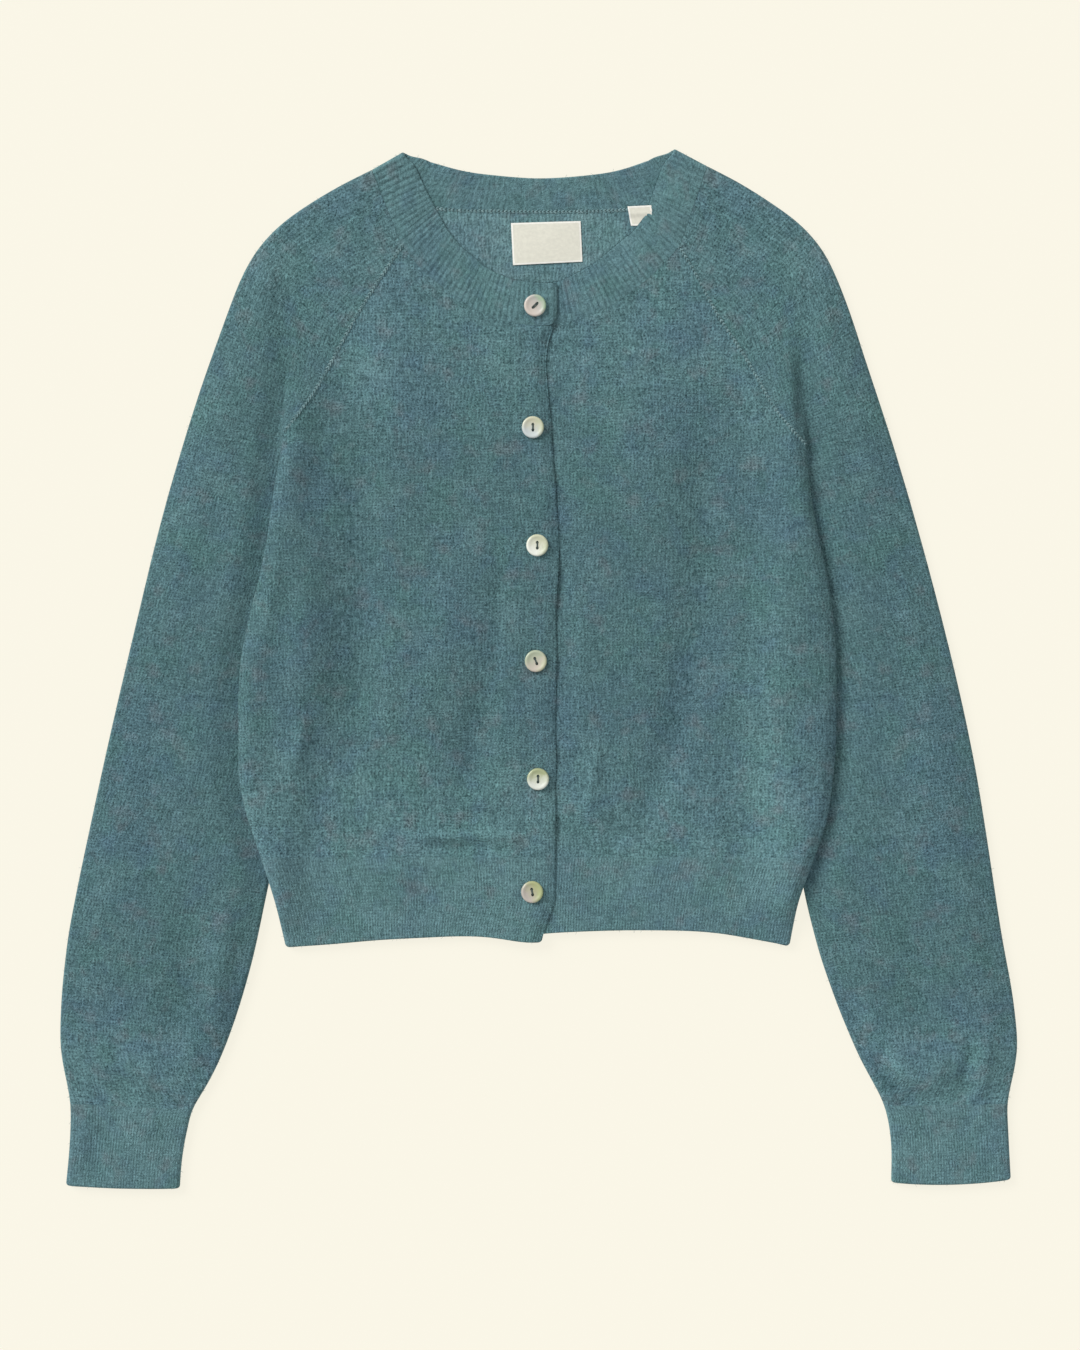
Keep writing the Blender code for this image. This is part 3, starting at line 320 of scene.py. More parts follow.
def away_from(grid: Array, line: Array) -> Array:
    """Distance of each point of a grid from its own row's point of a line."""
    return norm(grid - line[:, None], axis=-1)


def eased(distances: Iterable[Array], widths: Iterable[float]) -> Any:
    """Product of eased steps, each over its own width, by which a rise grows away from edges."""
    made: Any = 1
    for distance, width in zip(distances, widths):
        made = made * smooth(distance / width)
    return made


def softened(line: Array, width: float = 7) -> Array:
    """A line eased over its corners, with its ends kept.

    Args:
        line: evenly spaced points, about 1 mm apart.
        width: how far the easing reaches to each side of a point.

    Returns:
        The eased line, with the same number of points.
    """
    reach = min(int(2.5 * width), len(line) - 1)
    head = 2 * line[0] - line[reach:0:-1]
    tail = 2 * line[-1] - line[-2 : -reach - 2 : -1]
    padded = concat([head, line, tail])
    weights = np.exp(-0.5 * (np.arange(-reach, reach + 1) / width) ** 2)
    weights /= weights.sum()
    eased = [np.convolve(padded[:, i], weights, mode="valid") for i in range(line.shape[1])]
    return np.stack(eased, axis=-1)


# --- outlines of the solids
def solid_edges(*nodes: str) -> Array:
    """The edges of these solids' faces, as pairs of points in millimetres."""
    found = []
    for node in nodes:
        mesh = frame["nodes"][node].data
        spots = np.empty(len(mesh.vertices) * 3, np.float32)
        mesh.vertices.foreach_get("co", spots)
        pairs = np.empty(len(mesh.edges) * 2, np.int32)
        mesh.edges.foreach_get("vertices", pairs)
        found.append(spots.reshape(-1, 3)[pairs.reshape(-1, 2)] / MM)
    return concat(found).astype(float)


def rim(nodes: Sequence[str], start: float, end: float, sign: int, axis: int = 1) -> Array:
    """The outline of some solids on one side, level by level.

    Args:
        nodes: the solids.
        start: the first level.
        end: the last level.
        sign: the way the outline faces, along the other axis of the plan.
        axis: the axis of the levels, 1 for y and 0 for x.

    Returns:
        Plan points about 1 mm apart.
    """
    edges = solid_edges(*nodes)
    level_a, level_b = edges[:, 0, axis], edges[:, 1, axis]
    other_a, other_b = edges[:, 0, 1 - axis], edges[:, 1, 1 - axis]
    levels = np.linspace(start, end, max(3, int(abs(end - start))))
    out = np.full(len(levels), np.nan)
    for i, level in enumerate(levels):
        hit = (np.minimum(level_a, level_b) <= level) & (np.maximum(level_a, level_b) >= level)
        if not hit.any():
            continue
        span = level_b[hit] - level_a[hit]
        share = np.clip((level - level_a[hit]) / np.where(span == 0, 1, span), 0, 1)
        spots = other_a[hit] + share * (other_b[hit] - other_a[hit])
        out[i] = sign * (sign * spots).max()
    known = ~np.isnan(out)
    out = np.interp(np.arange(len(levels)), np.flatnonzero(known), out[known])
    line = np.stack([out, levels] if axis == 1 else [levels, out], axis=-1)
    return evenly(line)


def corner(node: str, x_way: float, y_way: float) -> Array:
    """The plan point of a solid that lies furthest along a direction."""
    spots = solid_edges(node).reshape(-1, 3)[:, :2]
    return spots[np.argmax(spots @ np.array([x_way, y_way]))]


@dataclass
class SideLines:
    """The lines of one side of the garment, each from the top down.

    body_edge is the edge of the body where it lies over the sleeve, and inner is the
    inner edge of the sleeve, which runs on under the body.
    """

    name: str
    sign: int = field(init=False)
    underarm: Array = field(init=False)

    def __post_init__(self) -> None:
        """Reads the lines from the solids."""
        name = self.name
        self.sign = -1 if name == "right" else 1
        self.underarm = np.array(UNDERARM[name])
        front, sleeve, cuff = f"front_{name}", f"sleeve_{name}", f"cuff_{name}"
        sides = ("back_panel", "hem_rib_back", front, f"hem_rib_{name}")
        sign, level = self.sign, UNDERARM[name].y
        self.neck_corner = corner(front, 0, 1)
        self.shoulder = corner(sleeve, 0, 1)
        self.back_corner = corner("back_panel", sign, 2.5)
        foot = corner(f"hem_rib_{name}", sign, -1)[1]
        self.hem_seam = corner(front, -sign, -1)[1]
        edge = softened(rim(sides, level - BELOW_UNDERARM, foot, sign))
        self.side_seam = concat([[self.underarm], edge])
        self.body_edge = concat([curve(CREASE_TOP[name]), self.side_seam])
        raglan = rim((front,), self.neck_corner[1], level, sign)
        self.raglan_front = self.between(raglan, self.neck_corner)
        raglan = rim(("back_panel",), self.back_corner[1], level, sign)
        self.raglan_back = self.between(raglan, self.back_corner)
        wrist, hand = corner(cuff, sign, 1), corner(cuff, -sign, 1)
        tip, heel = corner(cuff, sign, -1), corner(cuff, -sign, -1)
        arm = softened(rim((sleeve, cuff), self.shoulder[1], tip[1], sign), ARM_SOFTENED)
        self.outer, self.cuff_outer = self.parted(arm, wrist[1])
        palm = softened(rim((sleeve, cuff), level - 1, heel[1], -sign), PALM_SOFTENED[name])
        palm, self.cuff_inner = self.parted(palm, hand[1])
        inner = concat([[self.underarm], palm])
        tucked = LEAST_TUCK * smooth((level - inner[:, 1]) / LEAST_TUCK)
        under = x_at(self.side_seam, inner[:, 1]) - sign * tucked
        near = inner[:, 1] > level - NEAR_UNDERARM
        inner[near, 0] = sign * np.minimum(sign * inner[near, 0], sign * under[near])
        self.inner = inner

    def parted(self, line: Array, level: float) -> Grids:
        """A line's parts above and below a level, which share the point there."""
        spot = np.array([[float(x_at(line, level)), level]])
        above = concat([line[line[:, 1] > level + 0.05], spot])
        return above, concat([spot, line[line[:, 1] < level - 0.05]])

    def between(self, line: Array, top: Array) -> Array:
        """An eased line that ends in a given top point and in the underarm."""
        return softened(evenly(concat([[top], line[2:-2], [self.underarm]])))


# --- how the layers lie
@dataclass
class Drape:
    """Heights of the layers: the body over its sleeves, the stand, and the creases.

    Each pair of sizes is where an eased step starts, and its width.
    """

    sides: dict[str, SideLines]
    back_rises: float = 20  # the back starts to rise this far above the underarm
    broadens: Pair = (4, 24)  # where the left side's step gets broad
    roll_grows: float = 60  # length over which the roll at the sides grows, from its top
    roll_ends: float = 50  # and over which it fades again towards the hem
    roll_width: float = 10
    hollows_end: Pair = (-122, 20)  # the underside's hollows, over the hem
    hollows_inside: float = 0.6  # their share on the inner surface
    side_folds: Pair = (3, 10)  # a front's folds, from its side inwards
    left_folds: float = 10  # the left front's folds grow over this width beside the stand
    stand_ridges: float = 6  # the right front's ridges end over this width before its edge
    stand_troughs: Pair = (-18, 12)  # and its troughs before the facing

    def inside_edge(self, name: str, x: Array, y: Array) -> Array:
        """Distance inwards from the edge of the body."""
        side = self.sides[name]
        return side.sign * (x_at(side.body_edge, y) - x)

    def tuck(self, name: str, y: Array) -> Array:
        """How far the sleeve reaches under the body."""
        side = self.sides[name]
        reach = side.sign * (x_at(side.body_edge, y) - x_at(side.inner, y))
        return np.maximum(reach, 0)

    def side_lift(self, name: str, x: Array, y: Array, start: float) -> Array:
        """Height of the body over its tucked sleeve, growing downwards from y = start.

        Args:
            name: right or left.
            x: places across the body.
            y: and along it.
            start: where it starts to grow.

        Returns:
            The height at each place.
        """
        side = self.sides[name]
        full = side.underarm[1] - UNDERARM_RISE
        foot = side.body_edge[-1, 1]
        down_the_side = smooth((start - y) / (start - full)) * smooth((y - foot) / HEM_DROP)
        inside = self.inside_edge(name, x, y)
        across = smooth((inside + CREASE_WIDTH) / CREASE_WIDTH)
        if name == "left":
            above = smooth((y - side.underarm[1] - self.broadens[0]) / self.broadens[1])
            across = across * (1 - above) + smooth((inside + CREASE_WIDTH) / WIDE_CREASE) * above
        across = across * (1 - smooth((inside - self.tuck(name, y) - 1) / LIFT_RAMP))
        return LIFT * down_the_side * across

    def lower_lift(self, x: Array, y: Array) -> Array:
        """Height of the underside of the back."""
        rises = self.back_rises
        return sum(self.side_lift(n, x, y, s.underarm[1] + rises) for n, s in self.sides.items())

    def upper_lift(self, x: Array, y: Array) -> Array:
        """How far the upper layer is raised by the sleeves under it."""
        lift = sum(self.side_lift(n, x, y, s.body_edge[0, 1]) for n, s in self.sides.items())
        return lift + self.swell(x, y)

    def swell(self, x: Array, y: Array) -> Array:
        """A soft roll along the body's edges over the sleeves, deeper towards the hem."""
        total = np.zeros_like(x)
        for name, (rise, top, fall) in EDGE_SWELL.items():
            edge = self.sides[name].body_edge
            inside = self.inside_edge(name, x, y)
            ends = (edge[0, 1] - y, y - edge[-1, 1], inside + 1)
            grown = eased(ends, (self.roll_grows, self.roll_ends, self.roll_width))
            total += rise * grown * (1 - smooth((inside - top) / fall))
        return total

    def upper(self, plan: Array, share: Array, extra: Any, offset: float) -> Array:
        """Heights of a front's surface: offset is 0 on its inside and WALL on its outside."""
        x, y = plan[..., 0], plan[..., 1]
        under = UPPER + self.upper_lift(x, y)
        seam = 0.5 * (self.lower_lift(x, y) + under + WALL)
        return seam + (under + offset - seam) * share + extra

    def lower(self, plan: Array, share: Array, offset: float) -> Array:
        """Heights of the back's surface: offset is 0 on its underside and WALL on its inside."""
        x, y = plan[..., 0], plan[..., 1]
        under = self.lower_lift(x, y)
        start, width = self.hollows_end
        free = smooth(1 - under) * smooth((y - start) / width) * (share > FLAT)
        under = under + relief(UNDERSIDE_FOLDS, x, y) * free * (self.hollows_inside if offset else 1)
        seam = 0.5 * (under + UPPER + self.upper_lift(x, y) + WALL)
        return seam + (under + offset - seam) * share

    def creases(self, name: str, x: Array, y: Array) -> Array:
        """Folds of a front and of the rib under it, fading at their side and centre edges."""
        start, width = self.side_folds
        folded = relief(BODY_FOLDS, x, y) * smooth((self.inside_edge(name, x, y) - start) / width)
        if name == "left":
            return folded * smooth((x - STAND_EDGE_X) / self.left_folds)
        start, width = self.stand_troughs
        sunk = np.minimum(folded, 0) * smooth((start - x) / width)
        return np.maximum(folded, 0) * smooth((STAND_EDGE_X - 1 - x) / self.stand_ridges) + sunk

    def roll_share(self, name: str, y: Array) -> Array:
        """1 on the side seam, 0 above the underarm."""
        return smooth((self.sides[name].underarm[1] - y) / UNDERARM_RISE)


def relief(table: Table, x: Array, y: Array) -> Array:
    """Sum of the ridges and troughs of a table, each at half its height at its ends.

    Args:
        table: x and y of both ends of each, its width and its height.
        x: places across the garment.
        y: and along it.

    Returns:
        The height at each place.
    """
    total = np.zeros_like(x)
    for x0, y0, x1, y1, width, height in table:
        run = np.array([x1 - x0, y1 - y0])
        at = np.clip(((x - x0) * run[0] + (y - y0) * run[1]) / (run @ run), 0, 1)
        away = np.hypot(x - x0 - at * run[0], y - y0 - at * run[1])
        fading = 0.5 + 0.5 * smooth(np.minimum(at, 1 - at) / 0.25)
        total += DEEPER * height * fading * np.exp(-((away / width) ** 2))
    return total


def edge_taken(y: Array) -> Array:
    """How far the right front's centre edge lies inside its solid's."""
    return np.interp(y, EDGE_LEVELS[::-1], EDGE_TAKEN[::-1])


def pressed(free: Array, outside: bool) -> Array:
    """How far a surface is pressed down by the distance from the stand's edge."""
    return PRESSED[0 if outside else 1] * (1 - smooth(free / PRESSED_WIDTH))


def kept_apart(rise: Array) -> Array:
    """Heights over a layer's level, no lower than where it meets the layer under it."""
    return np.maximum(rise, LOWEST - AIR)


def painted_fold_shade(depth: Any) -> Any:
    """Painted light and shade by the height of a fold: paler on a ridge, darker in a trough, most in a
    deep crease.
    """
    return FOLD_SHADE_RATE * depth * (1 + (depth / DEEP_CREASE) ** 2)


def paleness_and_painted_folds(y: Array, folded: Any = 0) -> Array:
    """How much paler the body's colour is made: towards the shoulders and the hem, with painted light on
    its ridges and painted shade in its troughs.
    """
    (above, top, over), (below, low, under) = SHOULDER_PALER, HEM_PALER
    return above * smooth((y - top) / over) + below * smooth((low - y) / under) + painted_fold_shade(folded)


def stand_rise(x: Array) -> Array:
    """How far the right front's stand rises over the left one."""
    return STAND_OVERLAP * smooth((x - STAND_FOOT) / STAND_RAMP)


# --- materials
def linear(code: str) -> tuple[float, float, float, float]:
    """Linear colour of an sRGB hex code."""
    parts = [int(code[i : i + 2], 16) / 255 for i in (1, 3, 5)]
    made = [c / 12.92 if c <= 0.04045 else ((c + 0.055) / 1.055) ** 2.4 for c in parts]
    return (*made, 1)


class Nodes:
    """A node tree with short ways to add the nodes that the looks and stitches use.

    Every way but add() returns the new node's result as a socket.
    """

    def __init__(self, tree: bpy.types.NodeTree) -> None:
        """Takes the tree."""
        self.tree = tree

    def add(self, kind: str, inputs: dict[Any, Any], **settings: Any) -> bpy.types.Node:
        """Adds a node.

        Args:
            kind: the node's type.
            inputs: a value or another node's socket for each input, by name or number.
            **settings: the node's own settings.

        Returns:
            The node.
        """
        node = self.tree.nodes.new(kind)
        for name, value in settings.items():
            setattr(node, name, value)
        for key, value in inputs.items():
            if isinstance(value, Socket):
                self.tree.links.new(value, node.inputs[key])
            else:
                node.inputs[key].default_value = value
        return node

    def maths(self, operation: str, *values: Any) -> Socket:
        """One step of arithmetic."""
        return self.add("ShaderNodeMath", dict(enumerate(values)), operation=operation).outputs[0]

    def vector(self, operation: str, *values: Any) -> Socket:
        """One step of arithmetic on vectors."""
        node = self.add("ShaderNodeVectorMath", dict(enumerate(values)), operation=operation)
        return node.outputs[1 if operation == "DOT_PRODUCT" else 0]

    def span(self, value: Socket, *limits: Any) -> Socket:
        """A value moved from one range to another."""
        return self.add("ShaderNodeMapRange", dict(enumerate((value, *limits)))).outputs[0]

    def noise(self, place: Socket, scale: float, **inputs: float) -> Socket:
        """A soft noise from 0 to 1."""
        return self.add("ShaderNodeTexNoise", {"Vector": place, "Scale": scale, **inputs}).outputs[0]

    def mix(self, share: Socket, low: Any, high: Any) -> Socket:
        """A colour between two others."""
        return self.add("ShaderNodeMix", {0: share, 6: low, 7: high}, data_type="RGBA").outputs[2]

    def joined(self, x: Any = 0, y: Any = 0, z: Any = 0) -> Socket:
        """A vector from its three numbers."""
        return self.add("ShaderNodeCombineXYZ", {0: x, 1: y, 2: z}).outputs[0]

    def parts(self, vector: Socket) -> Sequence[Socket]:
        """A vector's three numbers."""
        return self.add("ShaderNodeSeparateXYZ", {0: vector}).outputs

    def knit_place(self) -> Socket:
        """The place in the cloth, in millimetres across and along it."""
        return self.add("ShaderNodeAttribute", {}, attribute_name="knit").outputs["Vector"]

    def object_place(self) -> Socket:
        """The place in the object, in metres."""
        return self.add("ShaderNodeTexCoord", {}).outputs["Object"]


def new_material(name: str, code: str, **values: Any) -> tuple[Material, Nodes, Link]:
    """A material with a Principled shader.

    Args:
        name: the material's name.
        code: its colour as an sRGB hex code.
        **values: other values of the shader, with _ for each space.

    Returns:
        The material, its nodes, and a function that links a socket to an input of the shader.
    """
    made = bpy.data.materials.new(name)
    made.use_nodes = True
    made.diffuse_color = linear(code)
    shader = made.node_tree.nodes["Principled BSDF"]
    for key, value in {"Base_Color": linear(code), **values}.items():
        shader.inputs[key.replace("_", " ")].default_value = value

    def link(key: str, socket: Socket) -> None:
        """Links a socket to an input of the shader."""
        made.node_tree.links.new(socket, shader.inputs[key])

    return made, Nodes(made.node_tree), link


@dataclass(frozen=True)
class BrushedKnit:
    """Brushed lambswool in a teal heather: soft blotches of dyed tops under a fuzzy nap.

    Each stitch takes its own tone from the mixed fibres, and the nap blurs the wales, so
    they show as broken streaks, upright in some places and level in others. The gaps between
    wales and courses and the holes between stitches carry painted shade.
    """

    name: str = "brushed_lambswool_knit"
    ground: str = "#54767A"
    blue: str = "#516F82"
    green: str = "#507A76"
    blush: str = "#70757B"
    pale: str = "#66878B"
    wale: float = 2.4  # from one wale to the next
    course: float = 2.05
    tone: float = 0.5  # how far a stitch's tone is from its neighbours'
    nap: float = 0.8  # and how far the nap's own fine mottle goes
    streak: float = 0.2
    line: float = 0.05  # painted shade in the gaps between wales and courses: how much they show as lines
    pit_shade: float = 1  # painted shade in the holes between stitches: how dark it is
    veil: float = 0.025  # how much greyer the paler stitches are
    paler: float = 0  # how much paler it is where the knit attribute's third number is 1
    shaded_valley: float = 0  # painted shade between ribs: how much darker it is there
    upright: Pair = (0.40, 0.60)  # lower where more upright streaks show
    wale_depth: float = 0.25
    bump: float = 0.9

    def build(self) -> Material:
        """Makes the material."""
        made, nodes, link = new_material(
            self.name, self.ground, Roughness=0.95, Specular_IOR_Level=0.2, Sheen_Weight=0.12,
            Sheen_Roughness=0.6, Sheen_Tint=linear("#B9CCCE"),
        )
        place = nodes.knit_place()
        wander = nodes.add("ShaderNodeTexNoise", {"Vector": place, "Scale": 0.09, "Detail": 3})
        shift = nodes.vector("MULTIPLY_ADD", wander.outputs["Color"], (6, 6, 0), place)
        height, shade = self.stitches(nodes, place, shift)
        veil = nodes.maths("MULTIPLY_ADD", shade, self.veil, -self.veil)
        link("Base Color", nodes.vector("MULTIPLY_ADD", self.heather(nodes, place), shade, veil))
        bump = nodes.add("ShaderNodeBump", {"Strength": self.bump, "Distance": 0.0006, "Height": height})
        link("Normal", bump.outputs[0])
        return made

    def heather(self, nodes: Nodes, place: Socket) -> Socket:
        """The dyed blotches of the heather, from the largest to the smallest.

        Args:
            nodes: the material's nodes.
            place: knit coordinates in millimetres.

        Returns:
            The colour.
        """
        colour: Any = linear(self.ground)
        for scale, code, low, high, share in (
            (0.014, self.blue, 0.46, 0.62, 0.32),
            (0.030, self.green, 0.48, 0.66, 0.38),
            (0.050, self.blue, 0.52, 0.68, 0.34),
            (0.035, self.pale, 0.50, 0.68, 0.40),
            (0.060, self.blush, 0.56, 0.72, 0.34),
        ):
            cloud = nodes.noise(place, scale, Detail=3, Roughness=0.55)
            colour = nodes.mix(nodes.span(cloud, low, high, 0, share), colour, linear(code))
            place = nodes.vector("ADD", place, (137, 61, 9))
        return colour

    def stitches(self, nodes: Nodes, place: Socket, shifted: Socket) -> tuple[Socket, Socket]:
        """Height of the stitches and nap, and the shade that they give the colour.

        Args:
            nodes: the material's nodes.
            place: knit coordinates in millimetres.
            shifted: the same, wandering a little.

        Returns:
            The height and the shade.
        """
        maths = nodes.maths

        def noise(scale: float, way: tuple[float, float, float], *limits: float) -> Socket:
            """A noise stretched along one way of the knit, moved into a range."""
            made = nodes.noise(nodes.vector("MULTIPLY", place, way), scale, Detail=2, Roughness=0.7)
            return nodes.span(made, *limits, 0, 1)

        across, up, third = nodes.parts(shifted)
        across = maths("DIVIDE", across, self.wale)
        wale = maths("ABSOLUTE", maths("SINE", maths("MULTIPLY", across, math.pi)))
        rows = maths("ADD", maths("DIVIDE", up, self.course), maths("MULTIPLY", wale, 0.4))
        row = maths("ABSOLUTE", maths("SINE", maths("MULTIPLY", rows, math.pi)))
        cell = nodes.joined(maths("FLOOR", maths("ADD", across, across)), maths("FLOOR", rows))
        own = nodes.add("ShaderNodeTexWhiteNoise", {"Vector": cell}, noise_dimensions="3D")
        own = own.outputs["Value"]
        upright = noise(0.035, (1, 1, 1), *self.upright)
        level = maths("SUBTRACT", 1, upright)
        # painted shade in the gaps between wales and courses, lighter on their crests
        lines = maths("ADD", maths("MULTIPLY", wale, upright), maths("MULTIPLY", row, level))
        napped = noise(0.85, (1, 1, 1), 0.30, 0.70)
        # painted shade in the holes between stitches
        pit_shades = maths("MULTIPLY", maths("SUBTRACT", 1, wale), maths("SUBTRACT", 1, row))
        pit_shades = maths("MULTIPLY", pit_shades, own)
        # Less what the parts below add on average: |sin| has a mean of 2 / pi, and the painted pit shade
        # 0.07
        shade: Any = 1 - 0.5 * (self.tone + self.nap) - self.streak
        shade += 0.07 * self.pit_shade - 0.637 * self.line
        for part, amount in (
            (own, self.tone),
            (pit_shades, -self.pit_shade),
            (lines, self.line),
            (napped, self.nap),
            (noise(0.5, (1, 0.18, 1), 0.34, 0.66), self.streak),
            (noise(0.5, (0.18, 1, 1), 0.34, 0.66), self.streak),
        ):
            shade = maths("MULTIPLY_ADD", part, amount, shade)
        if self.paler:
            shade = maths("MULTIPLY", shade, maths("MULTIPLY_ADD", third, self.paler, 1))
        # painted shade in the valleys between ribs, and a little painted light on their tops
        if self.shaded_valley:
            shade = maths("MULTIPLY", shade, nodes.span(third, 0, 1, 1.05, 1 - self.shaded_valley))
        loops = maths("MULTIPLY", maths("SUBTRACT", maths("ADD", lines, own), pit_shades), self.wale_depth)
        return maths("ADD", loops, napped), shade


class ButtonLook(NamedTuple):
    """One button's tints, the ways in degrees that they run, and the turn of its two holes."""

    high: str
    low: str
    patch: str
    way: float  # from the low tint to the high one
    patch_way: float
    turn: float
    slot: bool = False  # whether a thread bar covers both holes


@dataclass(frozen=True)
class MotherOfPearl:
    """Turned and polished shell: one button's layers run from one tint to another.

    The tints are partly the shell's own nacre and partly a painted highlight: the tint on one
    side and the patch by its rim stand where the rim catches the light, so each button has its
    own two tints and a patch of a third one.
    """

    number: int
    centre: tuple[float, float, float]
    look: ButtonLook
    radius: float = 7.5

    def build(self) -> Material:
        """Makes the material."""
        name = f"polished_shell_{self.number}"
        made, nodes, link = new_material(
            name, self.look.high, Roughness=0.32, Coat_Weight=0.35, Coat_Roughness=0.15
        )
        middle = nodes.vector("SUBTRACT", nodes.object_place(), self.centre)
        layers = nodes.noise(middle, 210, Detail=3, Distortion=1.2)
        uneven = nodes.maths("MULTIPLY_ADD", layers, 1.3, -0.65)
        colour: Any = linear(self.look.low)
        for code, way, low, high, share in (
            (self.look.high, self.look.way, -0.55, 0.55, 1),
            (self.look.patch, self.look.patch_way, 0.25, 1, 0.75),
        ):
            turn, reach = math.radians(way), self.radius * MM
            steep = (math.cos(turn) / reach, math.sin(turn) / reach, 0)
            mixed = nodes.maths("ADD", nodes.vector("DOT_PRODUCT", middle, steep), uneven)
            colour = nodes.mix(nodes.span(mixed, low, high, 0, share), colour, linear(code))
        link("Base Color", colour)
        return made


@dataclass(frozen=True)
class SewingThread:
    """Twisted polyester sewing thread, dark teal, with a soft shine."""

    name: str = "twisted_polyester_thread"
    ground: str = "#3B4A48"
    shaded: str = "#2C3A38"
    lit: str = "#4B5B56"
    twist: float = 0.5  # from one turn of the plies to the next

    def build(self) -> Material:
        """Makes the material."""
        made, nodes, link = new_material(self.name, self.ground, Roughness=0.5, Sheen_Weight=0.15)
        scale = 1 / (self.twist * MM * math.pi)
        plies = nodes.add(
            "ShaderNodeTexWave",
            {"Vector": nodes.object_place(), "Scale": scale, "Distortion": 1},
            bands_direction="DIAGONAL",
        )
        link("Base Color", nodes.mix(plies.outputs[1], linear(self.shaded), linear(self.lit)))
        return made


@dataclass(frozen=True)
class DrawnFibre:
    """Lambswool fibres that brushing has drawn up, and the linking yarn of the seams.

    They catch more light than the cloth, in tones that change from blotch to blotch.
    """

    name: str = "drawn_lambswool_fibre"
    dark: str = "#55797D"
    light: str = "#7C9B9E"
    blotch: float = 2.5  # size of a blotch, drawn coarser than single fibres are dyed

    def build(self) -> Material:
        """Makes the material."""
        made, nodes, link = new_material(self.name, self.dark, Roughness=0.9, Sheen_Weight=0.3)
        cloud = nodes.noise(nodes.object_place(), 1 / (self.blotch * MM), Detail=2)
        tone = nodes.span(cloud, 0.35, 0.65)
        link("Base Color", nodes.mix(tone, linear(self.dark), linear(self.light)))
        return made


@dataclass(frozen=True)
class WovenSatin:
    """Close satin weave in off-white: fine level threads, and a brighter folded border."""

    name: str = "woven_label_satin"
    ground: str = "#E4E2D3"
    border: str = "#F7F5EC"
    thread: float = 0.55  # from one thread to the next, drawn coarser than it is to show
    fold: float = 0.9  # width of the folded border

    def build(self) -> Material:
        """Makes the material."""
        made, nodes, link = new_material(self.name, self.ground, Roughness=0.6, Sheen_Weight=0.1)
        place = nodes.knit_place()
        up, off_edge = nodes.parts(place)[1:3]
        threads = nodes.maths("SINE", nodes.maths("MULTIPLY", up, 2 * math.pi / self.thread))
        mottle = nodes.span(nodes.noise(place, 0.4, Detail=4), 0.3, 0.7, 0.94, 1.05)
        edge = nodes.span(off_edge, self.fold, self.fold + 0.4, 1, 0)
        mixed = nodes.mix(edge, linear(self.ground), linear(self.border))
        link("Base Color", nodes.vector("MULTIPLY", mixed, mottle))
        bump = nodes.add("ShaderNodeBump", {"Strength": 0.3, "Distance": 0.0001, "Height": threads})
        link("Normal", bump.outputs[0])
        return made


@dataclass(frozen=True)
class OpalTable:
    """Warm white opal acrylic table, lit from below as well, which keeps its shadows faint."""

    name: str = "opal_acrylic_table"
    ground: str = "#FAF6E7"
    glow: float = 0.9  # share of its brightness that comes from below

    def build(self) -> Material:
        """Makes the material."""
        colour = linear(self.ground)
        return new_material(
            self.name,
            self.ground,
            Base_Color=(*(c * (1 - self.glow) for c in colour[:3]), 1),
            Emission_Color=colour,
            Emission_Strength=self.glow,
            Roughness=0.9,
            Specular_IOR_Level=0.1,
        )[0]


# --- cloth meshes
def linked(name: str, data: Any) -> Piece:
    """A new object in the scene."""
    made = bpy.data.objects.new(name, data)
    bpy.context.scene.collection.objects.link(made)
    return made


@dataclass
class Sheet:
    """One piece of cloth as two grids of points, with its knit coordinates.

    outer and inner are rows x columns x 3. knit is rows x columns x 3: the distance across
    the wales, along them, and a third number that the material colours by: paleness with painted
    fold light and shade, painted shade between ribs, or a label's distance to its edge.
    """

    outer: Array
    inner: Array
    knit: Array

    def build(self, name: str, node: str, look: Material, reverse: Optional[Material] = None) -> Piece:
        """Makes the closed wall between the grids, in the place of its solid.

        Args:
            name: the piece's name.
            node: the solid.
            look: its material.
            reverse: the material of its inner face, where that is another one.

        Returns:
            The piece, at the origin.
        """
        rows, columns = self.outer.shape[:2]
        count = rows * columns
        at = np.arange(count).reshape(rows, columns)
        face = np.stack([at[:-1, :-1], at[1:, :-1], at[1:, 1:], at[:-1, 1:]], -1).reshape(-1, 4)
        loop = concat([at[0], at[1:, -1], at[-1, -2::-1], at[-2:0:-1, 0]])
        after = np.roll(loop, -1)
        side = np.stack([loop, after, after + count, loop + count], axis=-1)
        faces = concat([face, face[:, ::-1] + count, side])
        spots = concat([self.outer.reshape(-1, 3), self.inner.reshape(-1, 3)]) * MM
        a, b, c, d = (spots[faces[:, i]] for i in range(4))
        volume = np.einsum("ij,ij->", a, np.cross(b, c)) + np.einsum("ij,ij->", a, np.cross(c, d))
        if volume < 0:
            faces = faces[:, ::-1]
        mesh = bpy.data.meshes.new(name)
        mesh.from_pydata(spots.tolist(), [], faces.tolist())
        threads = mesh.attributes.new("knit", "FLOAT_VECTOR", "POINT")
        both = concat([self.knit.reshape(-1, 3)] * 2)
        threads.data.foreach_set("vector", both.astype(np.float32).ravel())
        mesh.materials.append(look)
        if reverse:
            mesh.materials.append(reverse)
            inside = np.zeros(len(faces), np.int32)
            inside[len(face) : 2 * len(face)] = 1
            mesh.polygons.foreach_set("material_index", inside)
        mesh.shade_smooth()
        mesh.set_sharp_from_angle(angle=math.radians(60))
        made = linked(name, mesh)
        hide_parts(node)
        return made


def flat_sheet(grids: Sequence[Array], third: Array) -> Sheet:
    """A flat-lying sheet from its two grids and its knit coordinates' third number."""
    return Sheet(*grids, np.stack([grids[0][..., 0], grids[0][..., 1], third], axis=-1))


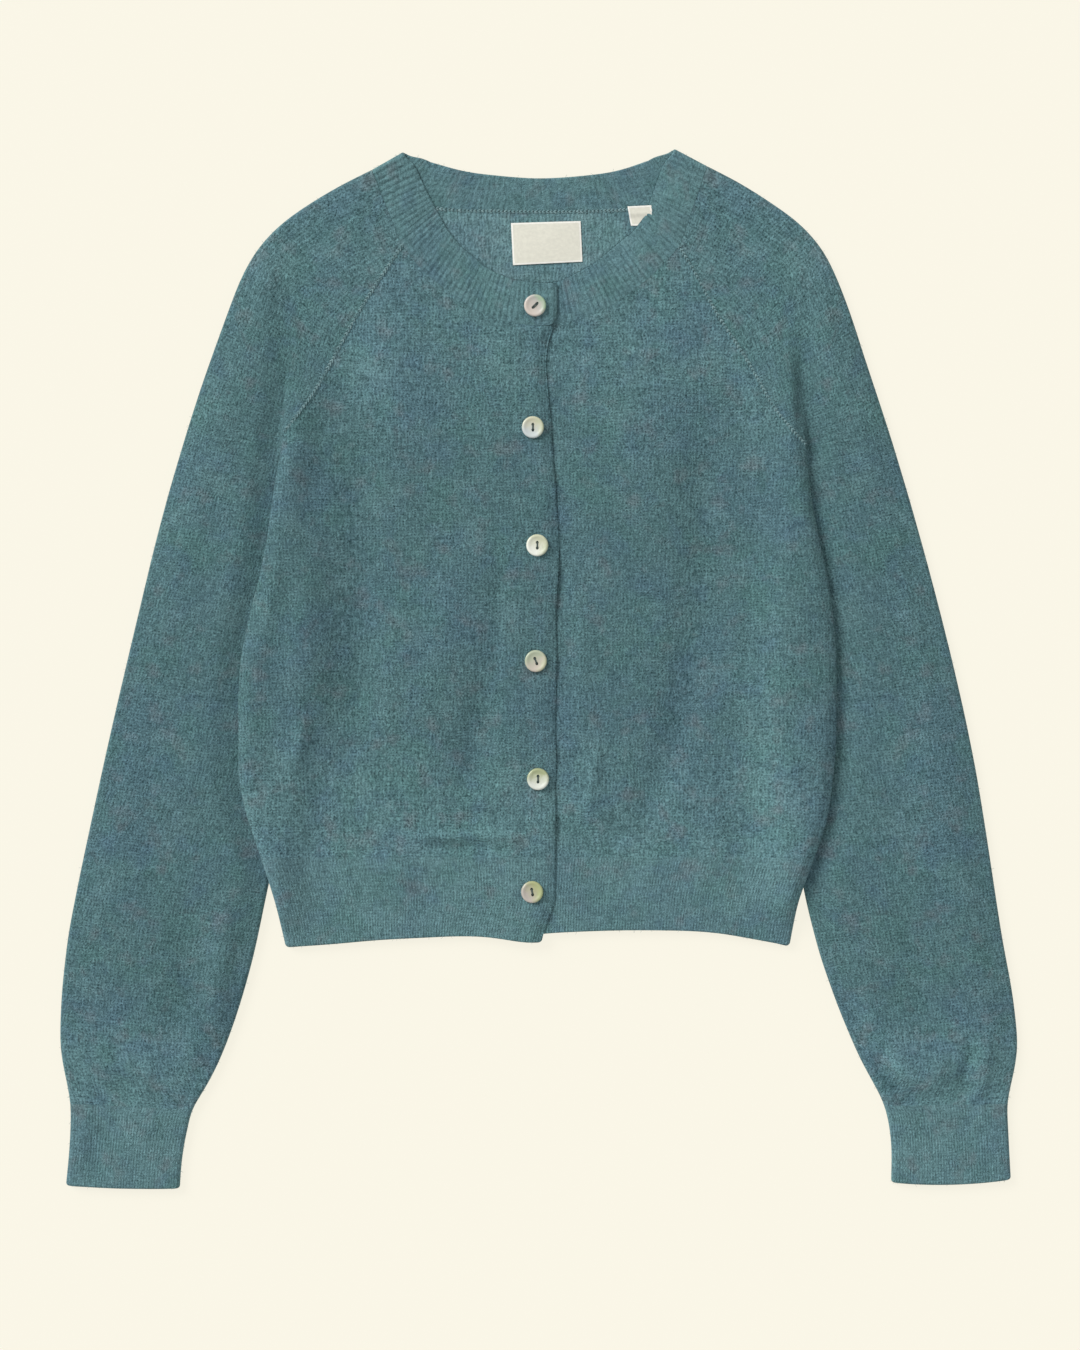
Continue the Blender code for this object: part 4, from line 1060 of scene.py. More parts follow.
def patch(left: Array, right: Array, bottom: Array, top: Array, across: Array) -> Array:
    """Plan points between four edges.

    Args:
        left: rows of points, bottom first.
        right: as many rows on the other side.
        bottom: the bottom line, from left to right.
        top: the top line, from left to right.
        across: each column's share of the way from left to right, row by row.

    Returns:
        The points, rows x columns x 2.
    """
    u = across[..., None]
    v = 0.5 * (run_shares(left) + run_shares(right))[:, None, None]
    between = left[:, None] * (1 - u) + right[:, None] * u
    ends = along(bottom, across) * (1 - v) + along(top, across) * v
    low = left[0] * (1 - u) + right[0] * u
    high = left[-1] * (1 - u) + right[-1] * u
    return between + ends - low * (1 - v) - high * v


def rolled_columns(edge: Array, following: Array, rolled: Array, radius: float) -> Grids:
    """Plan points and shares of height where a wall rolls over its side edge.

    Args:
        edge: the edge's points.
        following: the next column's points, which give the way in.
        rolled: 1 where the wall turns down to a side seam, 0 where it ends square.
        radius: BEND on the outer surface and BEND_INSIDE on the inner one.

    Returns:
        The points and their shares of height.
    """
    spots, shares = [], []
    inwards = unit(following - edge)
    square = np.minimum(SQUARE_SHARE * norm(following - edge, axis=-1), BEND)
    for angle in ROLL_ANGLES:
        turned = math.radians(angle)
        reach = rolled * (BEND - radius * math.cos(turned))
        reach = reach + (1 - rolled) * square * angle / 90
        spots.append(edge + inwards * reach[:, None])
        shares.append(rolled * math.sin(turned) + (1 - rolled))
    return np.stack(spots, axis=1), np.stack(shares, axis=1)


def panel_grid(plan: Array, radius: float, start: Array, end: Optional[Array] = None) -> Grids:
    """Plan grid and shares of height, with the first columns rolled, and the last if asked."""
    spots, shares = rolled_columns(plan[:, 0], plan[:, 1], start, radius)
    if end is None:
        rest = plan[:, 1:]
        full = np.ones(rest.shape[:2])
        return concat([spots, rest], axis=1), concat([shares, full], axis=1)
    rest = plan[:, 1:-1]
    last, last_shares = rolled_columns(plan[:, -1], plan[:, -2], end, radius)
    grid = concat([spots, rest, last[:, ::-1]], axis=1)
    return grid, concat([shares, np.ones(rest.shape[:2]), last_shares[:, ::-1]], axis=1)


def rounded_corner(away: Array, up: Array, radius: float) -> Array:
    """How far a side edge comes in above a rounded lower corner.

    Args:
        away: distances from the side edge.
        up: distances from the lower edge.
        radius: the corner's radius.

    Returns:
        The distances by which points move in, fading away from the edge.
    """
    part = np.clip(1 - up / radius, 0, 1)
    inwards = radius * (1 - np.sqrt(1 - part**2))
    return inwards * np.clip(1 - away / (4 * radius), 0, 1)


def solid(plan: Array, heights: Array) -> Array:
    """Plan points with their heights."""
    return concat([plan, heights[..., None]], axis=-1)


def edge_steps(width: Array, spacing: float) -> Array:
    """Distances across a panel from its rolled side to its rounded free edge.

    Args:
        width: the panel's width in each row.
        spacing: about how far apart the columns are.

    Returns:
        The distances of the columns, row by row, from 0 to the width.
    """
    even = equal_parts(divisions(float(width.max()) - BEND, spacing))
    last = ROUNDING * np.array(ROUNDED_ROWS[4::-1])
    start = BEND + 1
    middle = start + (width[:, None] - ROUNDING - start) * even
    return concat([np.zeros((len(width), 1)), middle, width[:, None] - last[1:]], axis=1)


def rounding(distance: Array) -> Array:
    """How far each surface comes in at a rounded free edge, by the distance from that edge."""
    part = np.clip(1 - distance / ROUNDING, 0, 1)
    return 0.72 * ROUNDING * (1 - np.sqrt(np.clip(1 - part**2, 0, 1)))


# --- the body
@dataclass
class Body:
    """The two fronts and the back, knitted plain."""

    sides: dict[str, SideLines]
    drape: Drape
    knit: Material
    reverse: Material
    back_columns: float = 3.2  # how far apart the back's columns are
    centre_softened: float = 5  # how widely the centre edges are eased
    neck_turn: Pair = (50, 60)  # where columns turn to the neck's ends
    puff_off: Pair = (8, 24)  # where the puff starts, from side and centre
    # Widths over which a front's puff grows from side, centre, hem and neck, and its folds from
    # neck and side. Those from hem and neck are shares of its length
    puffing: tuple[float, ...] = (30, 30, 0.12, 0.12)
    folding: Pair = (0.06, 9)
    edge_folding: float = 0.04

    def side_line(self, name: str, raglan: Array, spacing: float) -> Array:
        """Rows of a panel's side, bottom first: up to the underarm, then up the raglan."""
        side = self.sides[name]
        seam = side.side_seam
        corner_spot = [x_at(seam, side.hem_seam), side.hem_seam]
        lower = concat([seam[seam[:, 1] > side.hem_seam], [corner_spot]])
        steps = divisions(lengths(side.raglan_front)[-1], spacing)
        return concat([along(raglan, equal_parts(steps)), evenly(lower, spacing)[1:]])[::-1]

    def front(self, name: str) -> Piece:
        """A front, from its side and raglan to its centre edge.

        Args:
            name: right or left.

        Returns:
            The piece.
        """
        side = self.sides[name]
        left = self.side_line(name, side.raglan_front, FINE)
        start = corner(f"front_{name}", -side.sign, 0.5)
        neck = rim((f"front_{name}",), side.neck_corner[0], start[0], 1, axis=0)
        centre = rim((f"front_{name}",), start[1], side.hem_seam, -side.sign)
        centre = softened(centre, self.centre_softened)
        if name == "right":
            centre[:, 0] -= edge_taken(centre[:, 1])
        right = along(centre[::-1], run_shares(left))
        width = norm(right - left, axis=1)
        reach = edge_steps(width, FINE)
        spread = equal_parts(reach.shape[1] - 1)
        turn, over = self.neck_turn
        near_neck = smooth((left[:, 1] - side.underarm[1] - turn) / over)[:, None]
        share = reach / width[:, None] * (1 - near_neck) + spread * near_neck
        neck = softened(neck[1:-1])
        neck = neck[side.sign * (neck[:, 0] - right[-1, 0]) > 1]
        top = concat([[left[-1]], neck, [right[-1]]])
        plan = patch(left, right, np.stack([left[0], right[0]]), top, share)
        rolled = self.drape.roll_share(name, left[:, 1])
        grids, depths = [], []
        for radius, offset in UPPER_FACES:
            grid, share = panel_grid(plan, radius, rolled)
            v = run_shares(left)[:, None]
            x, y = grid[..., 0], grid[..., 1]
            away, free = away_from(grid, grid[:, 0]), away_from(grid, grid[:, -1])
            inside = (away - self.puff_off[0], free - self.puff_off[1], v, 1 - v)
            middle = eased(inside, self.puffing)
            folded = self.drape.creases(name, x, y) * eased((1 - v, away - 1), self.folding)
            extra = kept_apart(PUFF * middle + folded)
            depths.append(folded)
            if name == "right":
                extra = extra + stand_rise(x) + relief(STAND_EDGE, x, y)
            heights = self.drape.upper(grid, share, extra, offset)
            heights += rounding(free) * (-1 if offset else 1)
            if name == "right":
                rises = relief(EDGE_RISES, x, y) * smooth((1 - v) / self.edge_folding)
                heights = heights - pressed(free, bool(offset)) + rises
            grids.append(solid(grid, heights))
        # the third number: paler towards the shoulders and hem, with painted light and shade on the
        # folds
        made = flat_sheet(grids, paleness_and_painted_folds(grids[0][..., 1], depths[0]))
        return made.build(f"knit_front_{name}", f"front_{name}", self.knit)

    def back(self) -> Piece:
        """The back, from side to side, under the fronts and over the tucked sleeves."""
        left = self.side_line("right", self.sides["right"].raglan_back, COARSE)
        right = self.side_line("left", self.sides["left"].raglan_back, COARSE)
        rows = equal_parts(max(len(left), len(right)) - 1)
        left, right = along(left, rows), along(right, rows)
        width = norm(right - left, axis=1)[:, None]
        even = equal_parts(divisions(float(width.max()), self.back_columns))
        inner = BEND + 1 + (width - 2 * BEND - 2) * even
        across = concat([np.zeros_like(width), inner, width], axis=1) / width
        ends = (side.back_corner[0] for side in self.sides.values())
        neck = rim(("back_panel",), *ends, 1, 0)
        top = concat([[left[-1]], softened(neck[1:-1]), [right[-1]]])
        plan = patch(left, right, np.stack([left[0], right[0]]), top, across)
        start = self.drape.roll_share("right", left[:, 1])
        end = self.drape.roll_share("left", right[:, 1])
        grids = []
        for radius, offset in LOWER_FACES:
            grid, share = panel_grid(plan, radius, start, end)
            grids.append(solid(grid, self.drape.lower(grid, share, offset)))
        made = flat_sheet(grids, paleness_and_painted_folds(grids[0][..., 1]))
        return made.build("knit_back", "back_panel", self.knit, self.reverse)


@dataclass
class Sleeves:
    """The raglan sleeves: open along the raglans, flattened tubes below the underarms."""

    sides: dict[str, SideLines]
    drape: Drape
    knit: Material
    spacing: float = 3.3
    upper_columns: int = 50
    lower_columns: int = 30
    before_crease: int = 12  # upper columns before the crease by the body
    over_crease: int = 7
    crease_margin: float = 1.2
    crease_limits: Pair = (6, 0.6)  # its least place, and its most as a share of a row
    crease_rows: int = 9  # rows over which its place is evened
    samples: int = 400
    # Widths over which puff and folds grow from the body's edge, shoulder and wrist (shares of
    # the length), outer fold and inner edge
    puffing: tuple[float, ...] = (20, 0.12, 0.05, 24, 24)
    folding: tuple[float, ...] = (8, 0.05, 0.012, 9, 7)
    seams: dict[str, Array] = field(default_factory=dict)

    def rows(self, side: SideLines) -> tuple[Array, Array, Array]:
        """Rows of a sleeve: front edge, outer fold and back edge.

        Args:
            side: the lines of its side.

        Returns:
            The three lines, a point a row.
        """
        parts = equal_parts(799)
        level = along(side.outer, parts)[:, 1] - side.underarm[1] - ELBOW_RISE
        split = parts[np.argmin(np.abs(level))]
        total = lengths(side.outer)[-1]
        head = equal_parts(divisions(split * total, self.spacing))
        arm = equal_parts(divisions((1 - split) * total, self.spacing))[1:]
        fold = along(side.outer, concat([head * split, split + arm * (1 - split)]))
        inner = concat([along(side.raglan_front, head), along(side.inner, arm)])
        back_edge = concat([along(side.raglan_back, head), along(side.inner, arm)])
        return inner, fold, back_edge

    def reach(self, name: str, inner: Array, fold: Array) -> Array:
        """Distances of the upper layer's columns, close together at the crease by the body.

        Args:
            name: right or left.
            inner: the sleeve's inner edge, a point a row.
            fold: its outer fold.

        Returns:
            The distances from the inner edge, a row each.
        """
        width = norm(fold - inner, axis=1)[:, None]
        run = equal_parts(self.samples - 1)
        spots = inner[:, None] + (fold - inner)[:, None] * run[:, None]
        inside = self.drape.inside_edge(name, spots[..., 0], spots[..., 1])
        crease = np.array([np.interp(0, -row, run) for row in inside])[:, None] * width
        least, most = self.crease_limits
        crease = np.clip(crease, BEND + least, most * width)
        padded = np.pad(crease[:, 0], self.crease_rows // 2, mode="edge")
        crease[:, 0] = np.convolve(padded, np.ones(self.crease_rows) / self.crease_rows, mode="valid")
        before = equal_parts(self.before_crease)[1:]
        first, margin = BEND + 0.6, self.crease_margin
        near = first * (1 - before) + (crease - margin) * before
        over = equal_parts(self.over_crease)[1:]
        step = crease - margin + over * (CREASE_WIDTH + 2 * margin)
        rest = equal_parts(self.upper_columns - self.before_crease - self.over_crease)[1:]
        last = width - BEND
        return concat([near, step, step[:, -1:] * (1 - rest) + last * rest], axis=1)

    def build(self, name: str) -> Piece:
        """Makes a sleeve.

        Args:
            name: right or left.

        Returns:
            The piece.
        """
        side = self.sides[name]
        inner, fold, back_edge = self.rows(side)
        rolled = self.drape.roll_share(name, inner[:, 1])
        rolled[inner[:, 1] >= side.underarm[1]] = 0
        reach = self.reach(name, inner, fold)
        v = equal_parts(len(fold) - 1)[:, None]
        grids = []
        for radius, offset in LOWER_FACES:
            plan, share = tube_grid(
                inner, fold, back_edge, rolled, radius, reach, self.lower_columns
            )
            x, y = plan[..., 0], plan[..., 1]
            open_share = (1 - rolled)[:, None]
            low = self.drape.lower_lift(x, y) * open_share
            high = UPPER + WALL + self.drape.upper_lift(x, y) * open_share
            seam = 0.5 * (low + high)
            heights = seam + np.where(share > 0, high - offset - seam, seam - low - offset) * share
            bare = -self.drape.inside_edge(name, x, y) - 1
            inside = (bare, v, 1 - v, away_from(plan, fold), away_from(plan, inner))
            middle = eased(inside, self.puffing)
            folded = relief(SLEEVE_FOLDS, x, y) * eased(inside, self.folding)
            heights += kept_apart(SLEEVE_PUFF * middle + folded) * (share > FLAT)
            heights += relief(UNDERSIDE_FOLDS, x, y) * middle * (share < -FLAT)
            grids.append(solid(plan, heights))
            if not offset:
                depth = folded * (share > FLAT)
        knit = tube_knit(grids[0], fold, lengths(0.5 * (fold + inner)))
        # painted shade in the sleeve's creases and painted light on its ridges
        knit[..., 2] += painted_fold_shade(depth)
        head = int((inner[:, 1] >= side.underarm[1]).sum())
        self.seams[f"raglan_{name}"] = grids[0][:head, 0]
        return Sheet(*grids, knit).build(f"knit_sleeve_{name}", f"sleeve_{name}", self.knit)


def tube_grid(
    inner: Array,
    fold: Array,
    back_edge: Array,
    rolled: Array,
    radius: float,
    reach: Array,
    under_columns: int,
) -> Grids:
    """Plan points and signed shares of height round a flattened tube, row by row.

    Args:
        inner: the upper layer's inner edge, a point a row.
        fold: the outer folded edge.
        back_edge: the lower layer's inner edge.
        rolled: 1 where the edges turn over to a seam, 0 where they end square.
        radius: BEND on the outer surface and BEND_INSIDE on the inner one.
        reach: the upper layer's columns, as distances from the front edge.
        under_columns: how many columns the lower layer has.

    Returns:
        The points, and shares of 1 on the upper layer and -1 on the lower one.
    """
    over, under = unit(fold - inner), unit(fold - back_edge)
    start, start_share = rolled_columns(inner, fold, rolled, radius)
    end, end_share = rolled_columns(back_edge, fold, rolled, radius)
    top = inner[:, None] + over[:, None] * reach[..., None]
    spots, shares = [start, top], [start_share, np.ones(top.shape[:2])]
    for angle in FOLD_ANGLES:
        turned = math.radians(angle)
        part = 0.5 + angle / FOLD_TURN
        way = unit(over * part + under * (1 - part))
        spots.append((fold - way * (BEND - radius * math.cos(turned)))[:, None])
        shares.append(np.full((len(fold), 1), math.sin(turned)))
    parts = equal_parts(under_columns)[:-1, None]
    near, far = back_edge + under * (BEND + 0.5), fold - under * BEND
    spots.append(far[:, None] * (1 - parts) + near[:, None] * parts)
    shares.append(-np.ones((len(fold), under_columns)))
    spots.append(end[:, ::-1])
    shares.append(-end_share[:, ::-1])
    return concat(spots, axis=1), concat(shares, axis=1)


def tube_knit(grid: Array, fold: Array, down: Array) -> Array:
    """Knit coordinates of a flattened tube: round from its fold, and down its length."""
    steps = norm(np.diff(grid, axis=1), axis=-1)
    round_it = concat([np.zeros((len(grid), 1)), np.cumsum(steps, axis=1)], axis=1)
    nearest = np.argmin(away_from(grid[..., :2], fold), axis=1)
    round_it = round_it - round_it[np.arange(len(grid)), nearest][:, None]
    length = np.repeat(-down[:, None], grid.shape[1], axis=1)
    (arm, start, over), (wrist, end, under) = ARM_PALER, WRIST_PALER
    paler = arm * smooth((start - down) / over) + wrist * smooth((down - down[-1] + end) / under)
    return np.stack([round_it, length, paler[:, None] + 0 * round_it], axis=-1)


# --- the ribs
def rib_shape(phase: Array) -> Array:
    """Height of a rib, 0 to 1, by the position in ribs: rounded tops and narrow valleys."""
    return np.abs(np.cos(math.pi * phase)) ** 0.8


@dataclass
class Ribs:
    """The ribbed cuffs and hem strips, knitted one and one."""

    sides: dict[str, SideLines]
    drape: Drape
    rib: Material
    pitch: float = 1.9
    height: float = 0.32
    per_rib: int = 4
    spacing: float = 3
    corner_radius: float = 2.4
    sewn: float = 5  # length over which the ribs grow from the seam above them
    cuff_puff: float = 0.5
    cuff_folding: Pair = (12, 10)  # a cuff's folds grow over these widths
    hem_folding: float = 10
    hollow: float = 0.3  # how far the valleys lie above what the back's ribs rest on

    def ribbed(self, share: Array, shift: int = 1) -> Array:
        """Height of a rib, 0 to 1, in each column after the rolled ones."""
        return rib_shape((np.arange(share.shape[1]) - len(ROLL_ANGLES) + shift) / self.per_rib)

    def cuff(self, name: str) -> Piece:
        """Makes a cuff: a short flattened tube with ribs along it.

        Args:
            name: right or left.

        Returns:
            The piece.
        """
        side = self.sides[name]
        length = lengths(side.cuff_outer)[-1]
        rows = equal_parts(divisions(length, self.spacing))
        tail = 1 - ROUNDING / length * np.array(ROUNDED_ROWS[::-1])
        rows = concat([rows[rows < tail[0]], tail])
        fold, edge = along(side.cuff_outer, rows), along(side.cuff_inner, rows)
        inwards = rounded_corner(np.zeros(len(rows)), (1 - rows) * length, self.corner_radius)
        over = unit(fold - edge) * inwards[:, None]
        fold, edge = fold - over, edge + over
        flat = norm(fold - edge, axis=1)[:, None] - 2 * BEND
        ribs = divisions(float(flat.mean()), self.pitch)
        reach = BEND + flat * equal_parts(ribs * self.per_rib)[1:]
        under = ribs * self.per_rib // 2
        come_in = rounding((1 - rows) * length)[:, None]
        sewn = smooth(rows * length / self.sewn)[:, None]
        grids = []
        for radius, offset in LOWER_FACES:
            plan, share = tube_grid(edge, fold, edge, np.ones(len(rows)), radius, reach, under)
            near = away_from(plan, edge)
            near = near / (near + away_from(plan, fold))
            plan[..., 1] -= CUFF_BOW[name] * 4 * near * (1 - near) * rows[:, None] ** 2
            thick = BEND - offset
            heights = BEND + (thick + come_in * (1 if offset else -1)) * share
            if not offset:
                ribbed = self.ribbed(share)
                heights += self.height * sewn * ribbed * (share > FLAT)
                # painted shade between the cuff's ribs
                shaded_valley = 1 - ribbed + 0 * share
            middle = eased((away_from(plan, edge), away_from(plan, fold)), self.cuff_folding)
            creases = relief(CUFF_FOLDS, plan[..., 0], plan[..., 1]) * middle
            creases = (self.cuff_puff + creases) * smooth(rows / 0.12)[:, None] * middle
            heights += kept_apart(creases) * (share > FLAT)
            grids.append(solid(plan, heights))
        knit = tube_knit(grids[0], fold, lengths(fold))
        knit[..., 2] = shaded_valley
        return Sheet(*grids, knit).build(f"rib_cuff_{name}", f"cuff_{name}", self.rib)

    def hem_side(self, name: str, bottom: float) -> Array:
        """Rows of a hem's side edge, bottom first, close together at its rounded edge."""
        side = self.sides[name]
        top = side.hem_seam
        near = bottom + ROUNDING * np.array(ROUNDED_ROWS)
        rest = near[-1] + (top - near[-1]) * equal_parts(divisions(top - bottom, self.spacing))
        ys = concat([near[:-1], rest])
        return np.stack([x_at(side.side_seam, ys), ys], axis=-1)

    def hem_plan(self, node: str, left: Array, right: Array, reach: Array) -> Grids:
        """A hem's plan and its points' heights above its lower edge, its lower corners rounded.

        Args:
            node: the node that it stands for.
            left: one side edge, a point a row, bottom first.
            right: the other one.
            reach: distances of its columns from the first.

        Returns:
            The plan points, and each row's height.
        """
        way = 1 if right[0, 0] > left[0, 0] else -1
        bottom = softened(rim((node,), left[0, 0], right[0, 0], -1, axis=0))[2:-2]
        bottom = bottom[way * (right[0, 0] - bottom[:, 0]) > 1]
        bottom = concat([[left[0]], bottom, [right[0]]])
        width = norm(right - left, axis=1)[:, None]
        plan = patch(left, right, bottom, np.stack([left[-1], right[-1]]), reach / width)
        up = (left[:, 1] - left[0, 1])[:, None]
        inwards = rounded_corner(reach, up, self.corner_radius)
        inwards = inwards - rounded_corner(width - reach, up, self.corner_radius)
        return plan + unit(right - left)[:, None] * inwards[..., None], up

    def front_hem(self, name: str) -> Piece:
        """Makes the ribbed strip under a front.

        Args:
            name: right or left.

        Returns:
            The piece.
        """
        side = self.sides[name]
        node = f"hem_rib_{name}"
        toe = corner(node, -side.sign, -1)
        left = self.hem_side(name, corner(node, side.sign, -1)[1])
        centre = rim((node,), side.hem_seam, toe[1], -side.sign)
        centre = concat([softened(centre[:-1], 3), [toe]])
        if name == "right":
            centre[:, 0] -= edge_taken(centre[:, 1])
        right = along(centre[::-1], run_shares(left))
        width = norm(right - left, axis=1)[:, None]
        count = divisions(float(width.mean()) - BEND, self.pitch) * self.per_rib
        reach = BEND + (width - BEND - ROUNDING) * equal_parts(count)[1:]
        last = width - ROUNDING * np.array(ROUNDED_ROWS[3::-1])
        reach = concat([np.zeros_like(width), reach, last], axis=1)
        plan, up = self.hem_plan(node, left, right, reach)
        sewn = smooth((left[-1, 1] - left[:, 1]) / self.sewn)[:, None]
        grids = []
        for radius, offset in UPPER_FACES:
            grid, share = panel_grid(plan, radius, np.ones(len(plan)))
            free = away_from(grid, grid[:, -1])
            creases = self.drape.creases(name, grid[..., 0], grid[..., 1])
            extra = kept_apart(creases * smooth(up / self.hem_folding))
            if name == "right":
                extra = extra + stand_rise(grid[..., 0])
            come_in = np.maximum(rounding(free), rounding(up)) * share
            heights = self.drape.upper(grid, share, extra, offset) + come_in * (-1 if offset else 1)
            if name == "right":
                heights = heights - pressed(free, bool(offset))
            if offset:
                ribbed = np.where(free > ROUNDING + 0.1, self.ribbed(share), 0.6)
                heights += self.height * sewn * ribbed * (share > FLAT)
                # painted shade between the hem's ribs
                shaded_valley = (1 - ribbed) * (share > FLAT)
            grids.append(solid(grid, heights))
        return flat_sheet(grids, shaded_valley).build(f"rib_hem_{name}", node, self.rib)

    def back_hem(self) -> Piece:
        """Makes the ribbed strip under the back. Its ribs lie flattened on what it rests on."""
        node = "hem_rib_back"
        left, right = (
            self.hem_side(name, corner(node, side.sign, -1)[1]) for name, side in self.sides.items()
        )
        width = norm(right - left, axis=1)[:, None]
        ribs = divisions(float(width.mean()) - 2 * BEND, self.pitch)
        inner = BEND + 0.5 + (width - 2 * BEND - 1) * equal_parts(ribs * self.per_rib)
        reach = concat([np.zeros_like(width), inner, width], axis=1)
        plan, up = self.hem_plan(node, left, right, reach)
        rolled = np.ones(len(plan))
        grids = []
        for radius, offset in LOWER_FACES:
            grid, share = panel_grid(plan, radius, rolled, rolled)
            heights = self.drape.lower(grid, share, offset)
            heights += rounding(up) * share * (-1 if offset else 1)
            if not offset:
                # the back hem's valleys: raised a little, and given painted shade
                shaded_valley = (1 - self.ribbed(share, 0)) * (share > FLAT)
                heights += self.hollow * shaded_valley
            grids.append(solid(grid, heights))
        return flat_sheet(grids, shaded_valley).build("rib_hem_back", node, self.rib)


@dataclass
class Neckband:
    """One ribbed strip from centre front to centre front, folded over at both shoulders."""

    rib: Material
    pitch: float = 3.7
    height: float = 0.42
    per_rib: int = 6
    seams: dict[str, Array] = field(default_factory=dict)
    rounded: tuple[float, ...] = ROUNDED_ROWS[4::-1]
    rows: int = 9
    fades: Pair = (0.35, 0.8)  # ribs left at the seam, and taken at the free edge
    tip: float = 3.6  # how much the free edge is taken in at a shoulder's fold
    tip_reach: float = 7
    sink: Pair = (2, 0.8)  # how much lower the free edge's two surfaces lie
    sink_from: float = 0.375  # share of the way across from which it sinks
    sink_off: float = 22  # length over which it sinks away from a shoulder's fold
    end_rounds: Pair = (7, 2.5)  # radii of the corners at the centre front
    shaded_valleys: Pair = (1.1, 0.35)  # how strong the painted shade between ribs is at the seam and free edge

    def columns(self, table: Table) -> Array:
        """Sections along a stretch of the band, a whole number of ribs long."""
        line = curve(table)
        mean = 0.5 * (lengths(line)[-1] + lengths(line[:, 2:])[-1])
        return along(line, equal_parts(divisions(mean, self.pitch) * self.per_rib))

    def shortened(self, sections: Array, from_fold: Array) -> Array:
        """Sections with their free edge taken in near a shoulder's fold, which rounds its tip."""
        made = sections.copy()
        way = unit(made[:, 2:] - made[:, :2])
        taken = self.tip * np.exp(-((from_fold / self.tip_reach) ** 2))
        made[:, 2:] -= way * taken[:, None]
        return made

    def rounded_end(self, sections: Array) -> Array:
        """Sections of the right front with both corners of their centre end rounded."""
        made = sections.copy()
        way = unit(made[:, 2:] - made[:, :2])
        away = lengths(made)[:, None]
        for radius, at, sign in zip(self.end_rounds, (0, 2), (1, -1)):
            part = np.clip(1 - away / radius, 0, 1)
            made[:, at : at + 2] += sign * way * radius * (1 - np.sqrt(1 - part**2))
        return made

    def across(self, width: Array) -> Array:
        """Shares of the way from the sewn edge to the free edge, for each section."""
        last = ROUNDING * np.array(self.rounded)
        flat = equal_parts(self.rows)[:-1, None] * (1 - ROUNDING / width)
        return concat([flat, 1 - last[:, None] / width])

    def come_in(self) -> Array:
        """How far each row's surface comes in at the rounded free edge."""
        last = ROUNDING * np.array(self.rounded)
        return rounding(concat([np.full(self.rows, 40), last]))[:, None]

    def fade(self) -> Array:
        """Share of the ribs' height in each row, less at the seam and at the free edge."""
        out = 1 - self.fades[1] * self.come_in()
        out[0] *= self.fades[0]
        return out

    def shaded_valley(self, count: int) -> Array:
        """Painted shade between ribs: how deep in a valley each point of a run lies, strongest by the
        seam.
        """
        phase = np.arange(count) / self.per_rib
        strength = np.linspace(*self.shaded_valleys, self.rows + len(self.rounded))[:, None]
        # Painted shade uneven from rib to rib, as the band was pulled on its needles
        strength = strength * (0.75 + 0.25 * np.sin(2.1 * np.floor(phase + 0.5) ** 1.3 + 0.4 * phase))
        return (1 - rib_shape(phase)) * strength * (count > 1)

    def turn(self, name: str) -> tuple[Array, Array, Array, Array, Array]:
        """The runs before and after a shoulder's fold, the fold, and the ways into it.

        Args:
            name: right or left.

        Returns:
            Both runs' sections, the fold's two ends, and the ways from the front and the back.
        """
        front_table = np.array(NECK_SIDE[name][NECK_TURN:], float)
        back_table = np.array((NECK_SIDE[name][-1], NECK_BACK[0 if name == "right" else -1]), float)
        fold = front_table[-1].reshape(2, 2).copy()
        over = unit(fold - front_table[0].reshape(2, 2))
        under = unit(fold - back_table[-1].reshape(2, 2))
        front_table[-1] = (fold - over * BEND).ravel()
        back_table[0] = (fold - under * BEND).ravel()
        front_run, back_run = self.columns(front_table), self.columns(back_table)
        far = lengths(front_run[:, 2:])
        front_run = self.shortened(front_run, far[-1] - far)
        back_run = self.shortened(back_run, lengths(back_run[:, 2:]))
        fold = self.shortened(fold.reshape(1, 4), np.zeros(1)).reshape(2, 2)
        return front_run, back_run, fold, over, under

    def flat(
        self, sections: Array, layer: Layer, offset: float, raised: bool = False, skip: int = 0
    ) -> Grids:
        """Plan and heights of a flat stretch of the band.

        Args:
            sections: its sections.
            layer: the side of the garment that it is on.
            offset: 0 on its outer surface and WALL on its inner one.
            raised: whether it lies on the left front, as the right front's end does.
            skip: how many of its first sections the stretch before it has already.

        Returns:
            The plan points and their heights.
        """
        sections = sections[skip:]
        sewn, free = sections[:, :2], sections[:, 2:]
        share = self.across(norm(free - sewn, axis=1))[..., None]
        plan = sewn * (1 - share) + free * share
        inset = self.come_in() * (-1 if offset else 1)
        height = BEND + layer.value * (BEND - offset - inset)
        height = np.repeat(height, plan.shape[1], axis=1)
        if layer is Layer.UPPER:
            sinking = (share[..., 0] - self.sink_from) / (1 - self.sink_from)
            sink = self.sink[1 if offset else 0] * smooth(sinking)
            if not raised:
                off_fold = lengths(free)
                sink = sink * smooth(np.abs(off_fold - off_fold[-1 if skip else 0]) / self.sink_off)
            height = height - sink
        if (layer is Layer.UPPER) == (offset == 0):
            phase = (np.arange(len(sections)) + skip) / self.per_rib
            height = height + self.height * rib_shape(phase) * self.fade()
        if raised:
            height = height + stand_rise(plan[..., 0]) - pressed(lengths(sections), not offset)
        return plan, height

